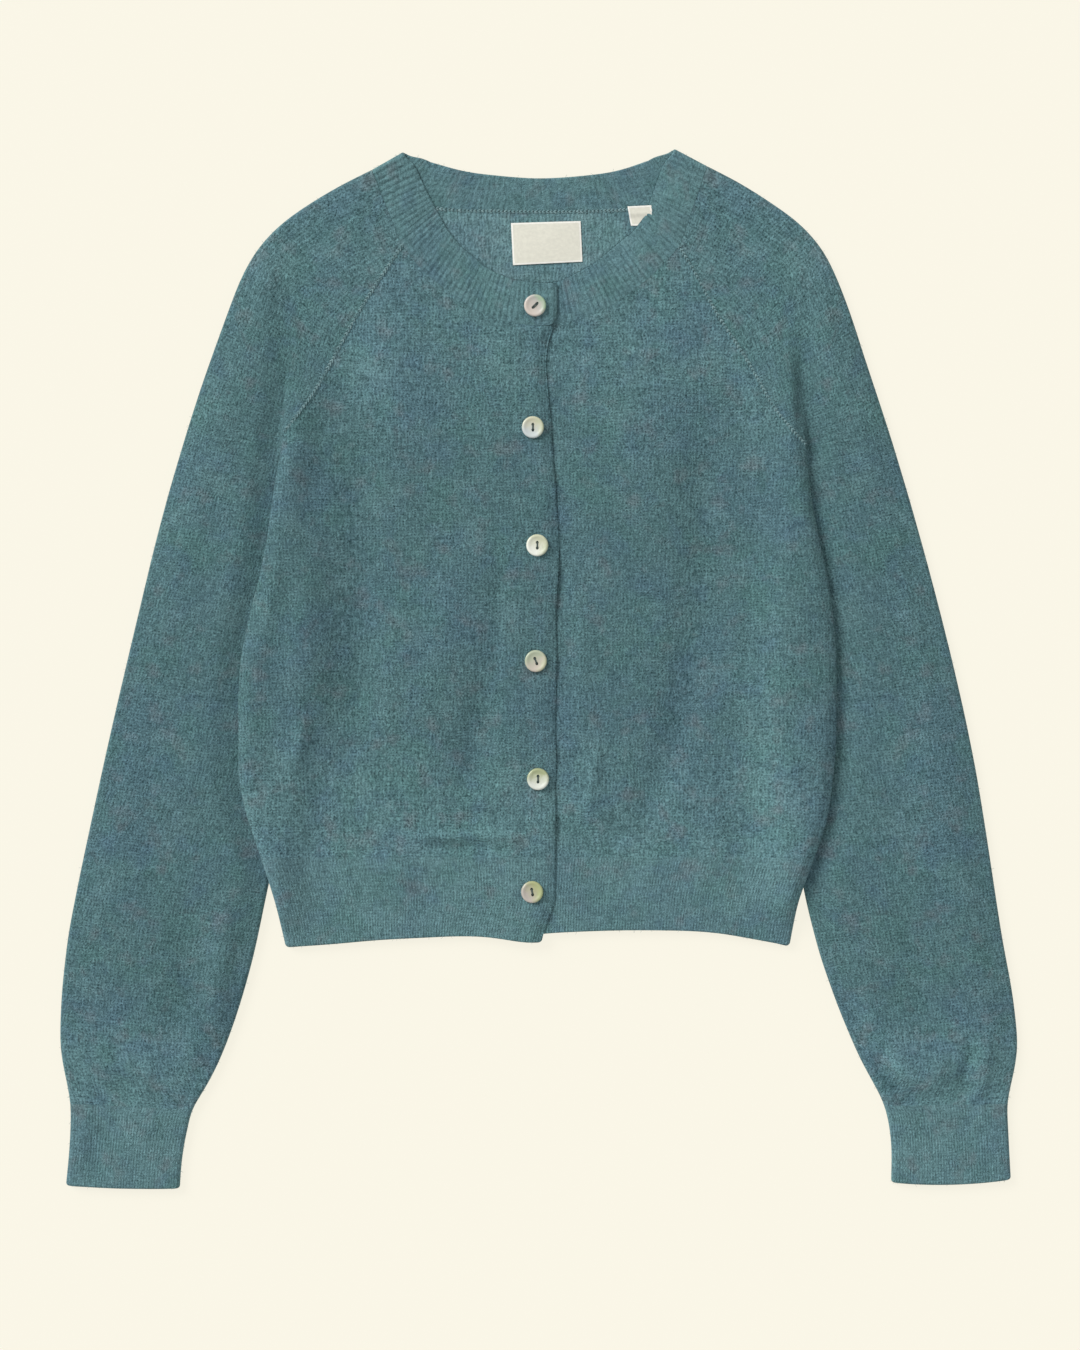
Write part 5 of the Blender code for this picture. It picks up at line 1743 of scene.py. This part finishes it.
    def turned(self, fold: Array, over: Array, under: Array, angle: float, offset: float) -> Grids:
        """Plan and heights of one column round the fold at a shoulder.

        Args:
            fold: the fold's sewn end and free end.
            over: the ways into it from the front.
            under: and from the back.
            angle: the column's place round the fold, in degrees.
            offset: 0 on the outer surface and WALL on the inner one.

        Returns:
            The plan points and their heights.
        """
        turn = math.radians(angle)
        part = 0.5 + angle / FOLD_TURN
        width = np.array([norm(fold[1] - fold[0])])
        share = self.across(width)
        way = unit(over * part + under * (1 - part))
        way = unit(way[0] * (1 - share) + way[1] * share)
        inset = self.come_in() * (-1 if offset else 1)
        reach = BEND - (BEND - offset - inset) * math.cos(turn)
        spot = fold[0] * (1 - share) + fold[1] * share
        rise = BEND + (BEND - offset - inset) * math.sin(turn)
        return (spot - way * reach)[:, None], rise

    def build(self) -> Piece:
        """Makes the neckband."""
        grids = []
        for offset in (0, WALL):
            runs = []
            for name in ("right", "left"):
                front_run, back_run, fold, over, under = self.turn(name)
                centre_run = self.columns(NECK_SIDE[name][: NECK_TURN + 1])
                bend = [self.turned(fold, over, under, angle, offset) for angle in FOLD_ANGLES]
                if name == "right":
                    runs += [
                        self.flat(self.rounded_end(centre_run), Layer.UPPER, offset, raised=True),
                        self.flat(front_run, Layer.UPPER, offset, skip=1),
                        *bend,
                        self.flat(back_run, Layer.LOWER, offset),
                        self.flat(self.columns(NECK_BACK), Layer.LOWER, offset, skip=1),
                    ]
                else:
                    runs += [
                        self.flat(back_run[::-1], Layer.LOWER, offset, skip=1),
                        *bend[::-1],
                        self.flat(front_run[::-1], Layer.UPPER, offset),
                        self.flat(centre_run[::-1], Layer.UPPER, offset, skip=1),
                    ]
            plan = concat([p for p, _ in runs], axis=1)
            if offset == 0:
                # painted shade between the neckband's ribs
                shaded_valley = concat([self.shaded_valley(p.shape[1]) for p, _ in runs], axis=1)
            grids.append(solid(plan, concat([h for _, h in runs], axis=1)))
        self.seams["back_neck"] = grids[1][0][grids[0][0, :, 2] < 0.5]
        round_neck = lengths(grids[0][0, :, :2])
        out = norm(grids[0] - grids[0][:1], axis=-1)
        knit = np.stack([round_neck + 0 * out, out, shaded_valley], axis=-1)
        return Sheet(*grids, knit).build("rib_neckband", "neckband", self.rib)


# --- buttons and labels
def loft(shape: bmesh.types.BMesh, rings: Iterable[Iterable[Array]]) -> None:
    """Adds a closed body through rings of points in millimetres, with a face on each end."""
    made = [[shape.verts.new(spot * MM) for spot in ring] for ring in rings]
    for low, high in zip(made, made[1:]):
        for k in range(len(low)):
            shape.faces.new((low[k], low[k - 1], high[k - 1], high[k]))
    shape.faces.new(made[0])
    shape.faces.new(made[-1])


# Tints of each button: partly the shell's own colour, partly a painted highlight where its rim catches
# the light
BUTTON_LOOKS = (
    ButtonLook("#BFBDB6", "#D2C7BC", "#93BE8F", 40, 25, 45, True),
    ButtonLook("#CFCDB2", "#CBD3D2", "#BFC9A6", 75, 10, 90),
    ButtonLook("#CDCFB2", "#EEF0E4", "#B7BF9F", 55, -20, 90),
    ButtonLook("#B3BCA2", "#C9BFB2", "#BCC49C", 120, -20, 112),
    ButtonLook("#B2B992", "#DFE3D8", "#A3AD80", 95, 80, 90),
    ButtonLook("#B0B482", "#BDB5AB", "#A9B684", 35, -10, 100),
)


@dataclass
class Buttons:
    """Flat two-hole shell buttons: a turned profile with two oval holes, and their thread."""

    pearl_radius: float = 7.5
    profile: tuple[Pair, ...] = (
        (1.5, 1.55), (3, 1.58), (4.2, 1.70), (5, 1.95), (5.6, 2.20), (6.1, 2.32),
        (6.6, 2.30), (7, 2.12), (7.3, 1.75), (7.5, 1.25), (7.4, 0.75), (7, 0.25), (6.5, 0.03),
        (5.5, 0),
    )
    steps: int = 72
    hole: Pair = (0.95, 1.2)  # half width and half length of a hole
    spacing: float = 3.6
    thread_radius: float = 0.4
    pin: Pair = (-1, 4)  # from where to where the holes are cut
    bar: Pair = (0.8, 0.5)  # how far a thread bar's strands reach past, and apart
    inside: Pair = (0.1, 0.16)  # and those that lie in the holes alone
    thread_lift: float = 0.1
    thread_dip: float = 1.1  # how far the strands go down into the holes at their ends

    def centre(self, number: int) -> Array:
        """The middle of a button's underside."""
        low, high = (np.array(c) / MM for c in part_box(f"button_{number}"))
        return np.array([*(0.5 * (low + high))[:2], low[2]])

    def finished(self, shape: bmesh.types.BMesh, name: str) -> Piece:
        """An object from a finished shape, with smooth faces that point outwards."""
        bmesh.ops.recalc_face_normals(shape, faces=shape.faces)
        mesh = bpy.data.meshes.new(name)
        shape.to_mesh(mesh)
        shape.free()
        mesh.shade_smooth()
        return linked(name, mesh)

    def pins(self, spot: Array, turn: float) -> Piece:
        """Two upright oval pins that cut the holes.

        Args:
            spot: the middle of the button's underside.
            turn: the way from hole to hole, in radians.

        Returns:
            Both pins as one object.
        """
        shape = bmesh.new()
        way = np.array([math.cos(turn), math.sin(turn), 0])
        side = np.array([-way[1], way[0], 0])
        for sign in (-0.5, 0.5):
            oval = [
                spot
                + way * (sign * self.spacing + self.hole[1] * math.cos(at))
                + side * self.hole[0] * math.sin(at)
                for at in np.linspace(0, 2 * math.pi, 20, endpoint=False)
            ]
            loft(shape, [[place + [0, 0, height] for place in oval] for height in self.pin])
        return self.finished(shape, "hole_pins")

    def pearl(self, number: int) -> Piece:
        """One button, with its holes cut.

        Args:
            number: from 1 at the neck to 6 at the hem.

        Returns:
            The piece.
        """
        spot, look = self.centre(number), BUTTON_LOOKS[number - 1]
        shape = bmesh.new()
        turns = 2 * math.pi * (np.arange(self.steps) + 0.37) / self.steps
        round_it = [np.array([math.cos(turn), math.sin(turn), 0]) for turn in turns]
        loft(shape, [[spot + way * r + [0, 0, z] for way in round_it] for r, z in self.profile])
        made = self.finished(shape, f"shell_button_{number}")
        pins = self.pins(spot, math.radians(look.turn))
        cut = made.modifiers.new("holes", "BOOLEAN")
        cut.object, cut.operation, cut.solver = pins, "DIFFERENCE", "EXACT"
        graph = bpy.context.evaluated_depsgraph_get()
        settled = bpy.data.meshes.new_from_object(made.evaluated_get(graph))
        made.modifiers.clear()
        made.data = settled
        settled.name = made.name
        bpy.data.objects.remove(pins)
        settled.materials.clear()
        settled.materials.append(MotherOfPearl(number, tuple(spot * MM), look).build())
        settled.set_sharp_from_angle(angle=math.radians(40))
        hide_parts(f"button_{number}")
        return made

    def threads(self, look: Material) -> Piece:
        """The thread in every button's holes, and the bar over those of the first.

        Args:
            look: the thread's material.

        Returns:
            The piece.
        """
        shape = bmesh.new()
        for number, button in enumerate(BUTTON_LOOKS, start=1):
            spot = self.centre(number)
            turn = math.radians(button.turn)
            way = np.array([math.cos(turn), math.sin(turn), 0])
            past, apart = self.bar if button.slot else self.inside
            reach = self.spacing / 2 + past
            side = np.array([-way[1], way[0], 0])
            at = np.linspace(-1, 1, 17)[:, None]
            dip = self.thread_dip * np.abs(at) ** 6
            line = spot + way * reach * at
            line[:, 2:] += self.profile[0][1] + self.thread_lift - dip
            for strand in (-apart, apart):
                self.strand(shape, line + side * strand)
        made = self.finished(shape, "button_threads")
        made.data.materials.append(look)
        return made

    def strand(self, shape: bmesh.types.BMesh, line: Sequence[Array]) -> None:
        """A closed round strand along a line.

        Args:
            shape: what it is added to.
            line: points along its middle.
        """
        rings = []
        for i, spot in enumerate(line):
            way = unit(line[min(i + 1, len(line) - 1)] - line[max(i - 1, 0)])
            side = unit(np.cross(way, [0, 0, 1]))
            up = np.cross(side, way)
            turns = np.linspace(0, 2 * math.pi, 8, endpoint=False)
            rings.append(
                [spot + self.thread_radius * (side * math.cos(at) + up * math.sin(at)) for at in turns]
            )
        loft(shape, rings)


@dataclass
class Labels:
    """The two woven labels, with nothing on them: satin with a folded border."""

    satin: Material
    # Their bottom left, bottom right, top right and top left corners
    neck: tuple[Spot, ...] = (
        Spot(-18, 273.2), Spot(29.2, 275.6), Spot(27.9, 303.2), Spot(-19.4, 301.8),
    )
    care: tuple[Spot, ...] = (
        Spot(62.2, 300), Spot(78, 300), Spot(76, 313.8), Spot(59.8, 313),
    )
    thickness: float = 0.5
    lift: float = 0.25
    neck_bow: float = 0.7
    care_rise: float = 1  # the care label lies over the band's seam with its upper end
    border: float = 0.9
    border_height: float = 0.12
    bow_share: float = 0.4  # share of the bow at the lower and upper edges
    rising: Pair = (0.35, 0.3)  # where the care label rises, as shares of its height
    thinned: Pair = (0.4, 0.5)  # share of the thickness lost at an edge, and width

    def tag(self, node: str, spots: Sequence[Spot], bow: float, rise: float) -> Piece:
        """Makes a label.

        Args:
            node: its solid.
            spots: its corners.
            bow: how far its middle stands up.
            rise: how far its upper end lies above the lower one.

        Returns:
            The label.
        """
        low_left, low_right, high_right, high_left = (np.array(s) for s in spots)
        u, v = equal_parts(48)[None, :, None], equal_parts(32)[:, None, None]
        low, high = low_left * (1 - u) + low_right * u, high_left * (1 - u) + high_right * u
        plan = low * (1 - v) + high * v
        u, v = u[..., 0], v[..., 0]
        width, height = norm(low_right - low_left), norm(high_left - low_left)
        edge = np.minimum(np.minimum(u, 1 - u) * width, np.minimum(v, 1 - v) * height)
        bowed = self.bow_share + (1 - self.bow_share) * 4 * v * (1 - v)
        under = WALL + self.lift + bow * 4 * u * (1 - u) * bowed
        under = under + rise * smooth((v - self.rising[0]) / self.rising[1])
        top = under + self.thickness + self.border_height * smooth((self.border + 0.2 - edge) / 0.4)
        top = top - self.thinned[0] * self.thickness * (1 - smooth(edge / self.thinned[1]))
        knit = np.stack([u * width + 0 * edge, v * height + 0 * edge, edge], axis=-1)
        return Sheet(solid(plan, top), solid(plan, under), knit).build(f"woven_{node}", node, self.satin)

    def build(self) -> list[Piece]:
        """Makes both labels."""
        neck = self.tag("neck_label", self.neck, self.neck_bow, 0)
        return [neck, self.tag("care_label", self.care, 0, self.care_rise)]


# --- repeated stitches and nap
class Stitchery:
    """Node trees for what repeats: the linking stitches of the seams, and the raised nap."""

    @staticmethod
    def begin(name: str, sizes: dict[str, float]) -> tuple[Nodes, Any]:
        """A new tree's nodes and its inputs: geometry, named sizes and a material."""
        tree = bpy.data.node_groups.new(name, "GeometryNodeTree")
        tree.interface.new_socket("Geometry", in_out="OUTPUT", socket_type="NodeSocketGeometry")
        tree.interface.new_socket("Geometry", in_out="INPUT", socket_type="NodeSocketGeometry")
        for size, value in sizes.items():
            made = tree.interface.new_socket(size, in_out="INPUT", socket_type="NodeSocketFloat")
            made.default_value = value
        tree.interface.new_socket("Finish", in_out="INPUT", socket_type="NodeSocketMaterial")
        return Nodes(tree), tree.nodes.new("NodeGroupInput").outputs

    @staticmethod
    def end(nodes: Nodes, made: Socket, finish: Socket) -> bpy.types.NodeTree:
        """Realizes the instances, smooths them and gives them their material."""
        real = nodes.add("GeometryNodeRealizeInstances", {0: made}).outputs[0]
        even = nodes.add("GeometryNodeSetShadeSmooth", {"Geometry": real}).outputs[0]
        dressed = nodes.add("GeometryNodeSetMaterial", {"Geometry": even, "Material": finish})
        nodes.add("NodeGroupOutput", {0: dressed.outputs[0]})
        return nodes.tree

    @staticmethod
    def turned(nodes: Nodes, facing: Socket, turn: Socket) -> Socket:
        """A rotation, turned on about its own axes."""
        turn = nodes.add("FunctionNodeEulerToRotation", {0: turn}).outputs[0]
        inputs = {0: facing, 1: turn}
        return nodes.add("FunctionNodeRotateRotation", inputs, rotation_space="LOCAL").outputs[0]

    @staticmethod
    def placed(
        nodes: Nodes, points: Socket, shape: Socket, turn: Socket, sizes: dict[Any, Any]
    ) -> Socket:
        """Copies of a shape on points, in uneven sizes."""
        size = nodes.add("FunctionNodeRandomValue", sizes, data_type="FLOAT").outputs[1]
        inputs = {"Points": points, "Instance": shape, "Rotation": turn, "Scale": size}
        return nodes.add("GeometryNodeInstanceOnPoints", inputs).outputs[0]

    @classmethod
    def linking(cls) -> bpy.types.NodeTree:
        """Two rows of slanting loops along a curve, like the chain that joins knitted pieces."""
        sizes = {"Pitch": 0.0026, "Length": 0.0031, "Width": 0.0011, "Spread": 0.0005, "Lean": 0.5}
        nodes, given = cls.begin("linking_stitches", sizes)
        inputs = {"Curve": given["Geometry"], "Length": given["Pitch"]}
        points = nodes.add("GeometryNodeResampleCurve", inputs, mode="LENGTH").outputs[0]
        tangent = nodes.add("GeometryNodeInputTangent", {}).outputs[0]
        facing = nodes.add("FunctionNodeAlignRotationToVector", {"Vector": tangent}, axis="X").outputs[0]
        shares = ((given["Length"], 0.5), (given["Width"], 0.5), (given["Width"], 0.4))
        size = nodes.joined(*(nodes.maths("MULTIPLY", *pair) for pair in shares))
        inputs = {"Segments": 6, "Rings": 5, "Radius": 1}
        bead = nodes.add("GeometryNodeMeshUVSphere", inputs).outputs[0]
        loop = nodes.add("GeometryNodeTransform", {"Geometry": bead, "Scale": size}).outputs[0]
        rows = nodes.add("GeometryNodeJoinGeometry", {})
        for sign in (-1, 1):
            lean = nodes.joined(z=nodes.maths("MULTIPLY", given["Lean"], sign))
            aside = nodes.joined(y=nodes.maths("MULTIPLY", given["Spread"], sign))
            turn = cls.turned(nodes, facing, lean)
            row = cls.placed(nodes, points, loop, turn, {2: 0.8, 3: 1.2, "Seed": 5})
            inputs = {"Instances": row, "Translation": aside, "Local Space": True}
            moved = nodes.add("GeometryNodeTranslateInstances", inputs).outputs[0]
            nodes.tree.links.new(moved, rows.inputs[0])
        return cls.end(nodes, rows.outputs[0], given["Finish"])

    @classmethod
    def nap(cls) -> bpy.types.NodeTree:
        """Fine curved fibres over a surface, most of them where it turns to the side."""
        sizes = {"Density": 42000, "Least": 0.05, "Length": 0.0017, "Width": 0.00007, "Lowest": -0.4}
        nodes, given = cls.begin("raised_nap", sizes)
        level = nodes.parts(nodes.add("GeometryNodeInputNormal", {}).outputs[0])[2]
        side = nodes.span(nodes.maths("ABSOLUTE", level), 0.35, 0.97, 1, given["Least"])
        side = nodes.maths("MULTIPLY", side, nodes.maths("GREATER_THAN", level, given["Lowest"]))
        density = nodes.maths("MULTIPLY", side, given["Density"])
        inputs = {"Mesh": given["Geometry"], "Density": density, "Seed": 11}
        points = nodes.add("GeometryNodeDistributePointsOnFaces", inputs, distribute_method="RANDOM")

        def reach(share: float) -> Socket:
            """A share of a fibre's length."""
            return nodes.maths("MULTIPLY", given["Length"], share)

        hair = nodes.add(
            "GeometryNodeCurveQuadraticBezier",
            {
                "Resolution": 3,
                "Start": (0, 0, -0.0001),
                "Middle": nodes.joined(x=reach(0.1), z=reach(0.55)),
                "End": nodes.joined(x=reach(0.5), z=reach(0.8)),
            },
        ).outputs[0]
        factor = nodes.add("GeometryNodeSplineParameter", {}).outputs["Factor"]
        thinner = nodes.maths("MULTIPLY_ADD", factor, -0.8, 1)
        hair = nodes.add("GeometryNodeSetCurveRadius", {"Curve": hair, "Radius": thinner}).outputs[0]
        ring = nodes.add("GeometryNodeCurvePrimitiveCircle", {"Resolution": 3, "Radius": given["Width"]})
        inputs = {"Curve": hair, "Profile Curve": ring.outputs[0], "Fill Caps": True}
        fibre = nodes.add("GeometryNodeCurveToMesh", inputs).outputs[0]
        inputs = {0: (-0.9, -0.9, -3.1), 1: (0.9, 0.9, 3.1), "Seed": 3}
        toss = nodes.add("FunctionNodeRandomValue", inputs, data_type="FLOAT_VECTOR").outputs[0]
        turn = cls.turned(nodes, points.outputs["Rotation"], toss)
        hairs = cls.placed(nodes, points.outputs[0], fibre, turn, {2: 0.45, 3: 1.3, "Seed": 8})
        return cls.end(nodes, hairs, given["Finish"])

    @staticmethod
    def grown(base: Piece, tree: bpy.types.NodeTree, name: str, look: Material) -> Piece:
        """Runs a tree on an object and keeps what it makes as a plain mesh.

        Args:
            base: the object that the tree starts from.
            tree: the tree.
            name: the new piece's name.
            look: its material.

        Returns:
            The new piece.
        """
        grower = base.modifiers.new(name, "NODES")
        grower.node_group = tree
        for item in tree.interface.items_tree:
            if item.in_out == "INPUT" and item.name == "Finish":
                grower[item.identifier] = look
            elif item.in_out == "INPUT" and item.name != "Geometry":
                grower[item.identifier] = item.default_value
        found = base.evaluated_get(bpy.context.evaluated_depsgraph_get())
        mesh = bpy.data.meshes.new_from_object(found)
        base.modifiers.remove(grower)
        mesh.name = name
        return linked(name, mesh)


def seam_curve(lines: Sequence[Array]) -> Piece:
    """A curve object that follows some lines of the surface."""
    data = bpy.data.curves.new("seam", "CURVE")
    data.dimensions = "3D"
    for line in lines:
        spline = data.splines.new("POLY")
        spline.points.add(len(line) - 1)
        raised = line + np.array([0, 0, SEAM_RISE])
        spots = concat([raised * MM, np.ones((len(line), 1))], axis=1)
        spline.points.foreach_set("co", spots.astype(np.float32).ravel())
    return linked("seam", data)


# --- studio
@dataclass
class Studio:
    """Light table, soft lights and an overhead camera."""

    camera_height: float = 2.170
    lens: float = 85
    sensor: float = 36
    centre: Pair = (0.00034, -0.00544)
    key_way: tuple[float, float, float] = (0.66, -0.52, -0.55)
    key_spread: float = 28
    key_power: float = 2.5
    room_power: float = 0.55

    def floor(self) -> None:
        """A large flat floor, just under the garment."""
        mesh = bpy.data.meshes.new("light_table")
        shape = bmesh.new()
        bmesh.ops.create_grid(shape, x_segments=8, y_segments=8, size=4)
        bmesh.ops.translate(shape, verts=shape.verts, vec=(0, 0, -0.0002))
        shape.to_mesh(mesh)
        shape.free()
        mesh.materials.append(OpalTable().build())
        linked("light_table", mesh)

    def lights(self) -> None:
        """A broad, distant key from the upper left, and an even fill from the room."""
        light = bpy.data.lights.new("key_bank", "SUN")
        light.angle = math.radians(self.key_spread)
        light.energy = self.key_power
        lamp = linked("key_bank", light)
        lamp.rotation_euler = Vector(self.key_way).to_track_quat("-Z", "Y").to_euler()
        world = bpy.data.worlds.new("studio_room")
        world.use_nodes = True
        back = world.node_tree.nodes["Background"]
        back.inputs["Color"].default_value = linear("#FFFFFF")
        back.inputs["Strength"].default_value = self.room_power
        bpy.context.scene.world = world

    def camera(self) -> None:
        """The camera, looking straight down."""
        made = bpy.data.cameras.new("overhead")
        made.lens = self.lens
        made.sensor_width = self.sensor
        eye = linked("overhead", made)
        eye.location = (*self.centre, self.camera_height)
        bpy.context.scene.camera = eye
        bpy.context.scene.view_settings.view_transform = "Standard"


class Cut(NamedTuple):
    """A cloth piece's cut, laid flat: width, length and area in metres, and what it lies on."""

    width: float
    length: float
    area: Optional[float] = None
    rests_on: tuple[str, ...] = ()
    held: str = "laid"


CUTS = {
    "knit_back": Cut(0.406, 0.447, 0.154, ("knit_sleeve_right", "knit_sleeve_left")),
    "knit_front_right": Cut(0.217, 0.416, 0.0745, ("knit_back", "knit_front_left")),
    "knit_front_left": Cut(0.217, 0.416, 0.0765, ("knit_back",)),
    "knit_sleeve_right": Cut(0.33, 0.64, 0.131, (), "folded"),
    "knit_sleeve_left": Cut(0.33, 0.64, 0.129, (), "folded"),
    "rib_cuff_right": Cut(0.168, 0.056, 0.0092, (), "folded"),
    "rib_cuff_left": Cut(0.168, 0.056, 0.0090, (), "folded"),
    "rib_hem_back": Cut(0.37, 0.058, 0.0206, ("knit_sleeve_right", "knit_sleeve_left")),
    "rib_hem_right": Cut(0.2, 0.06, 0.0117, ("rib_hem_back", "rib_hem_left")),
    "rib_hem_left": Cut(0.2, 0.06, 0.0114, ("rib_hem_back",)),
    "rib_neckband": Cut(0.62, 0.029, None, ("knit_back",), "folded"),
    "woven_neck_label": Cut(0.0475, 0.029, None, ("knit_back",)),
    "woven_care_label": Cut(0.0165, 0.0138, None, ("knit_back",)),
}


def settle(piece: Piece) -> Piece:
    """Gives a piece its body, looks up its cut if it is cloth, and reports it."""
    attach(piece, BODY)
    if piece.name in CUTS:
        cut = CUTS[piece.name]
        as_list(cut.rests_on)
    LOG.info("%s: %d faces", piece.name, len(piece.data.polygons))
    return piece


def main() -> None:
    """Builds every piece, in order."""
    logging.basicConfig(level=logging.INFO, format="%(name)s: %(message)s")
    studio = Studio()
    studio.floor()
    studio.lights()
    studio.camera()
    sides = {name: SideLines(name) for name in ("right", "left")}
    drape = Drape(sides)
    knit = BrushedKnit(paler=0.2).build()
    reverse = BrushedKnit(
        name="brushed_lambswool_reverse", ground="#6A8D92", pale="#7C9B9E", line=0.12, nap=0.5,
        pit_shade=0.7, upright=(0.1, 0.3),
    ).build()
    rib = BrushedKnit(
        name="brushed_lambswool_rib", ground="#64888C", wale=1.9, tone=0.42, nap=0.6, pit_shade=0.8,
        wale_depth=0.15, shaded_valley=0.07,
    ).build()
    collar = BrushedKnit(
        name="brushed_lambswool_neck_rib", ground="#608488", wale=3.7, tone=0.35, nap=0.5, line=0,
        pit_shade=0.3, wale_depth=0.1, shaded_valley=0.2,
    ).build()
    satin = WovenSatin().build()
    body = Body(sides, drape, knit, reverse)
    sleeves = Sleeves(sides, drape, knit)
    ribs = Ribs(sides, drape, rib)
    for name in sides:
        settle(body.front(name))
        settle(sleeves.build(name))
        settle(ribs.cuff(name))
        settle(ribs.front_hem(name))
    settle(body.back())
    settle(ribs.back_hem())
    band = Neckband(collar)
    settle(band.build())
    buttons = Buttons()
    for number in range(1, len(BUTTON_LOOKS) + 1):
        settle(buttons.pearl(number))
    settle(buttons.threads(SewingThread().build()))
    for label in Labels(satin).build():
        settle(label)
    seams = {**sleeves.seams, **band.seams}
    path = seam_curve([seams[n] for n in ("raglan_right", "raglan_left", "back_neck")])
    fibre = DrawnFibre().build()
    settle(Stitchery.grown(path, Stitchery.linking(), "linked_seams", fibre))
    bpy.data.objects.remove(path)
    fuzz = Stitchery.nap()
    for name, piece in list(bpy.data.objects.items()):
        if name.startswith(("knit_", "rib_")):
            settle(Stitchery.grown(piece, fuzz, name + "_nap", fibre))


if __name__ == "__main__":
    main()
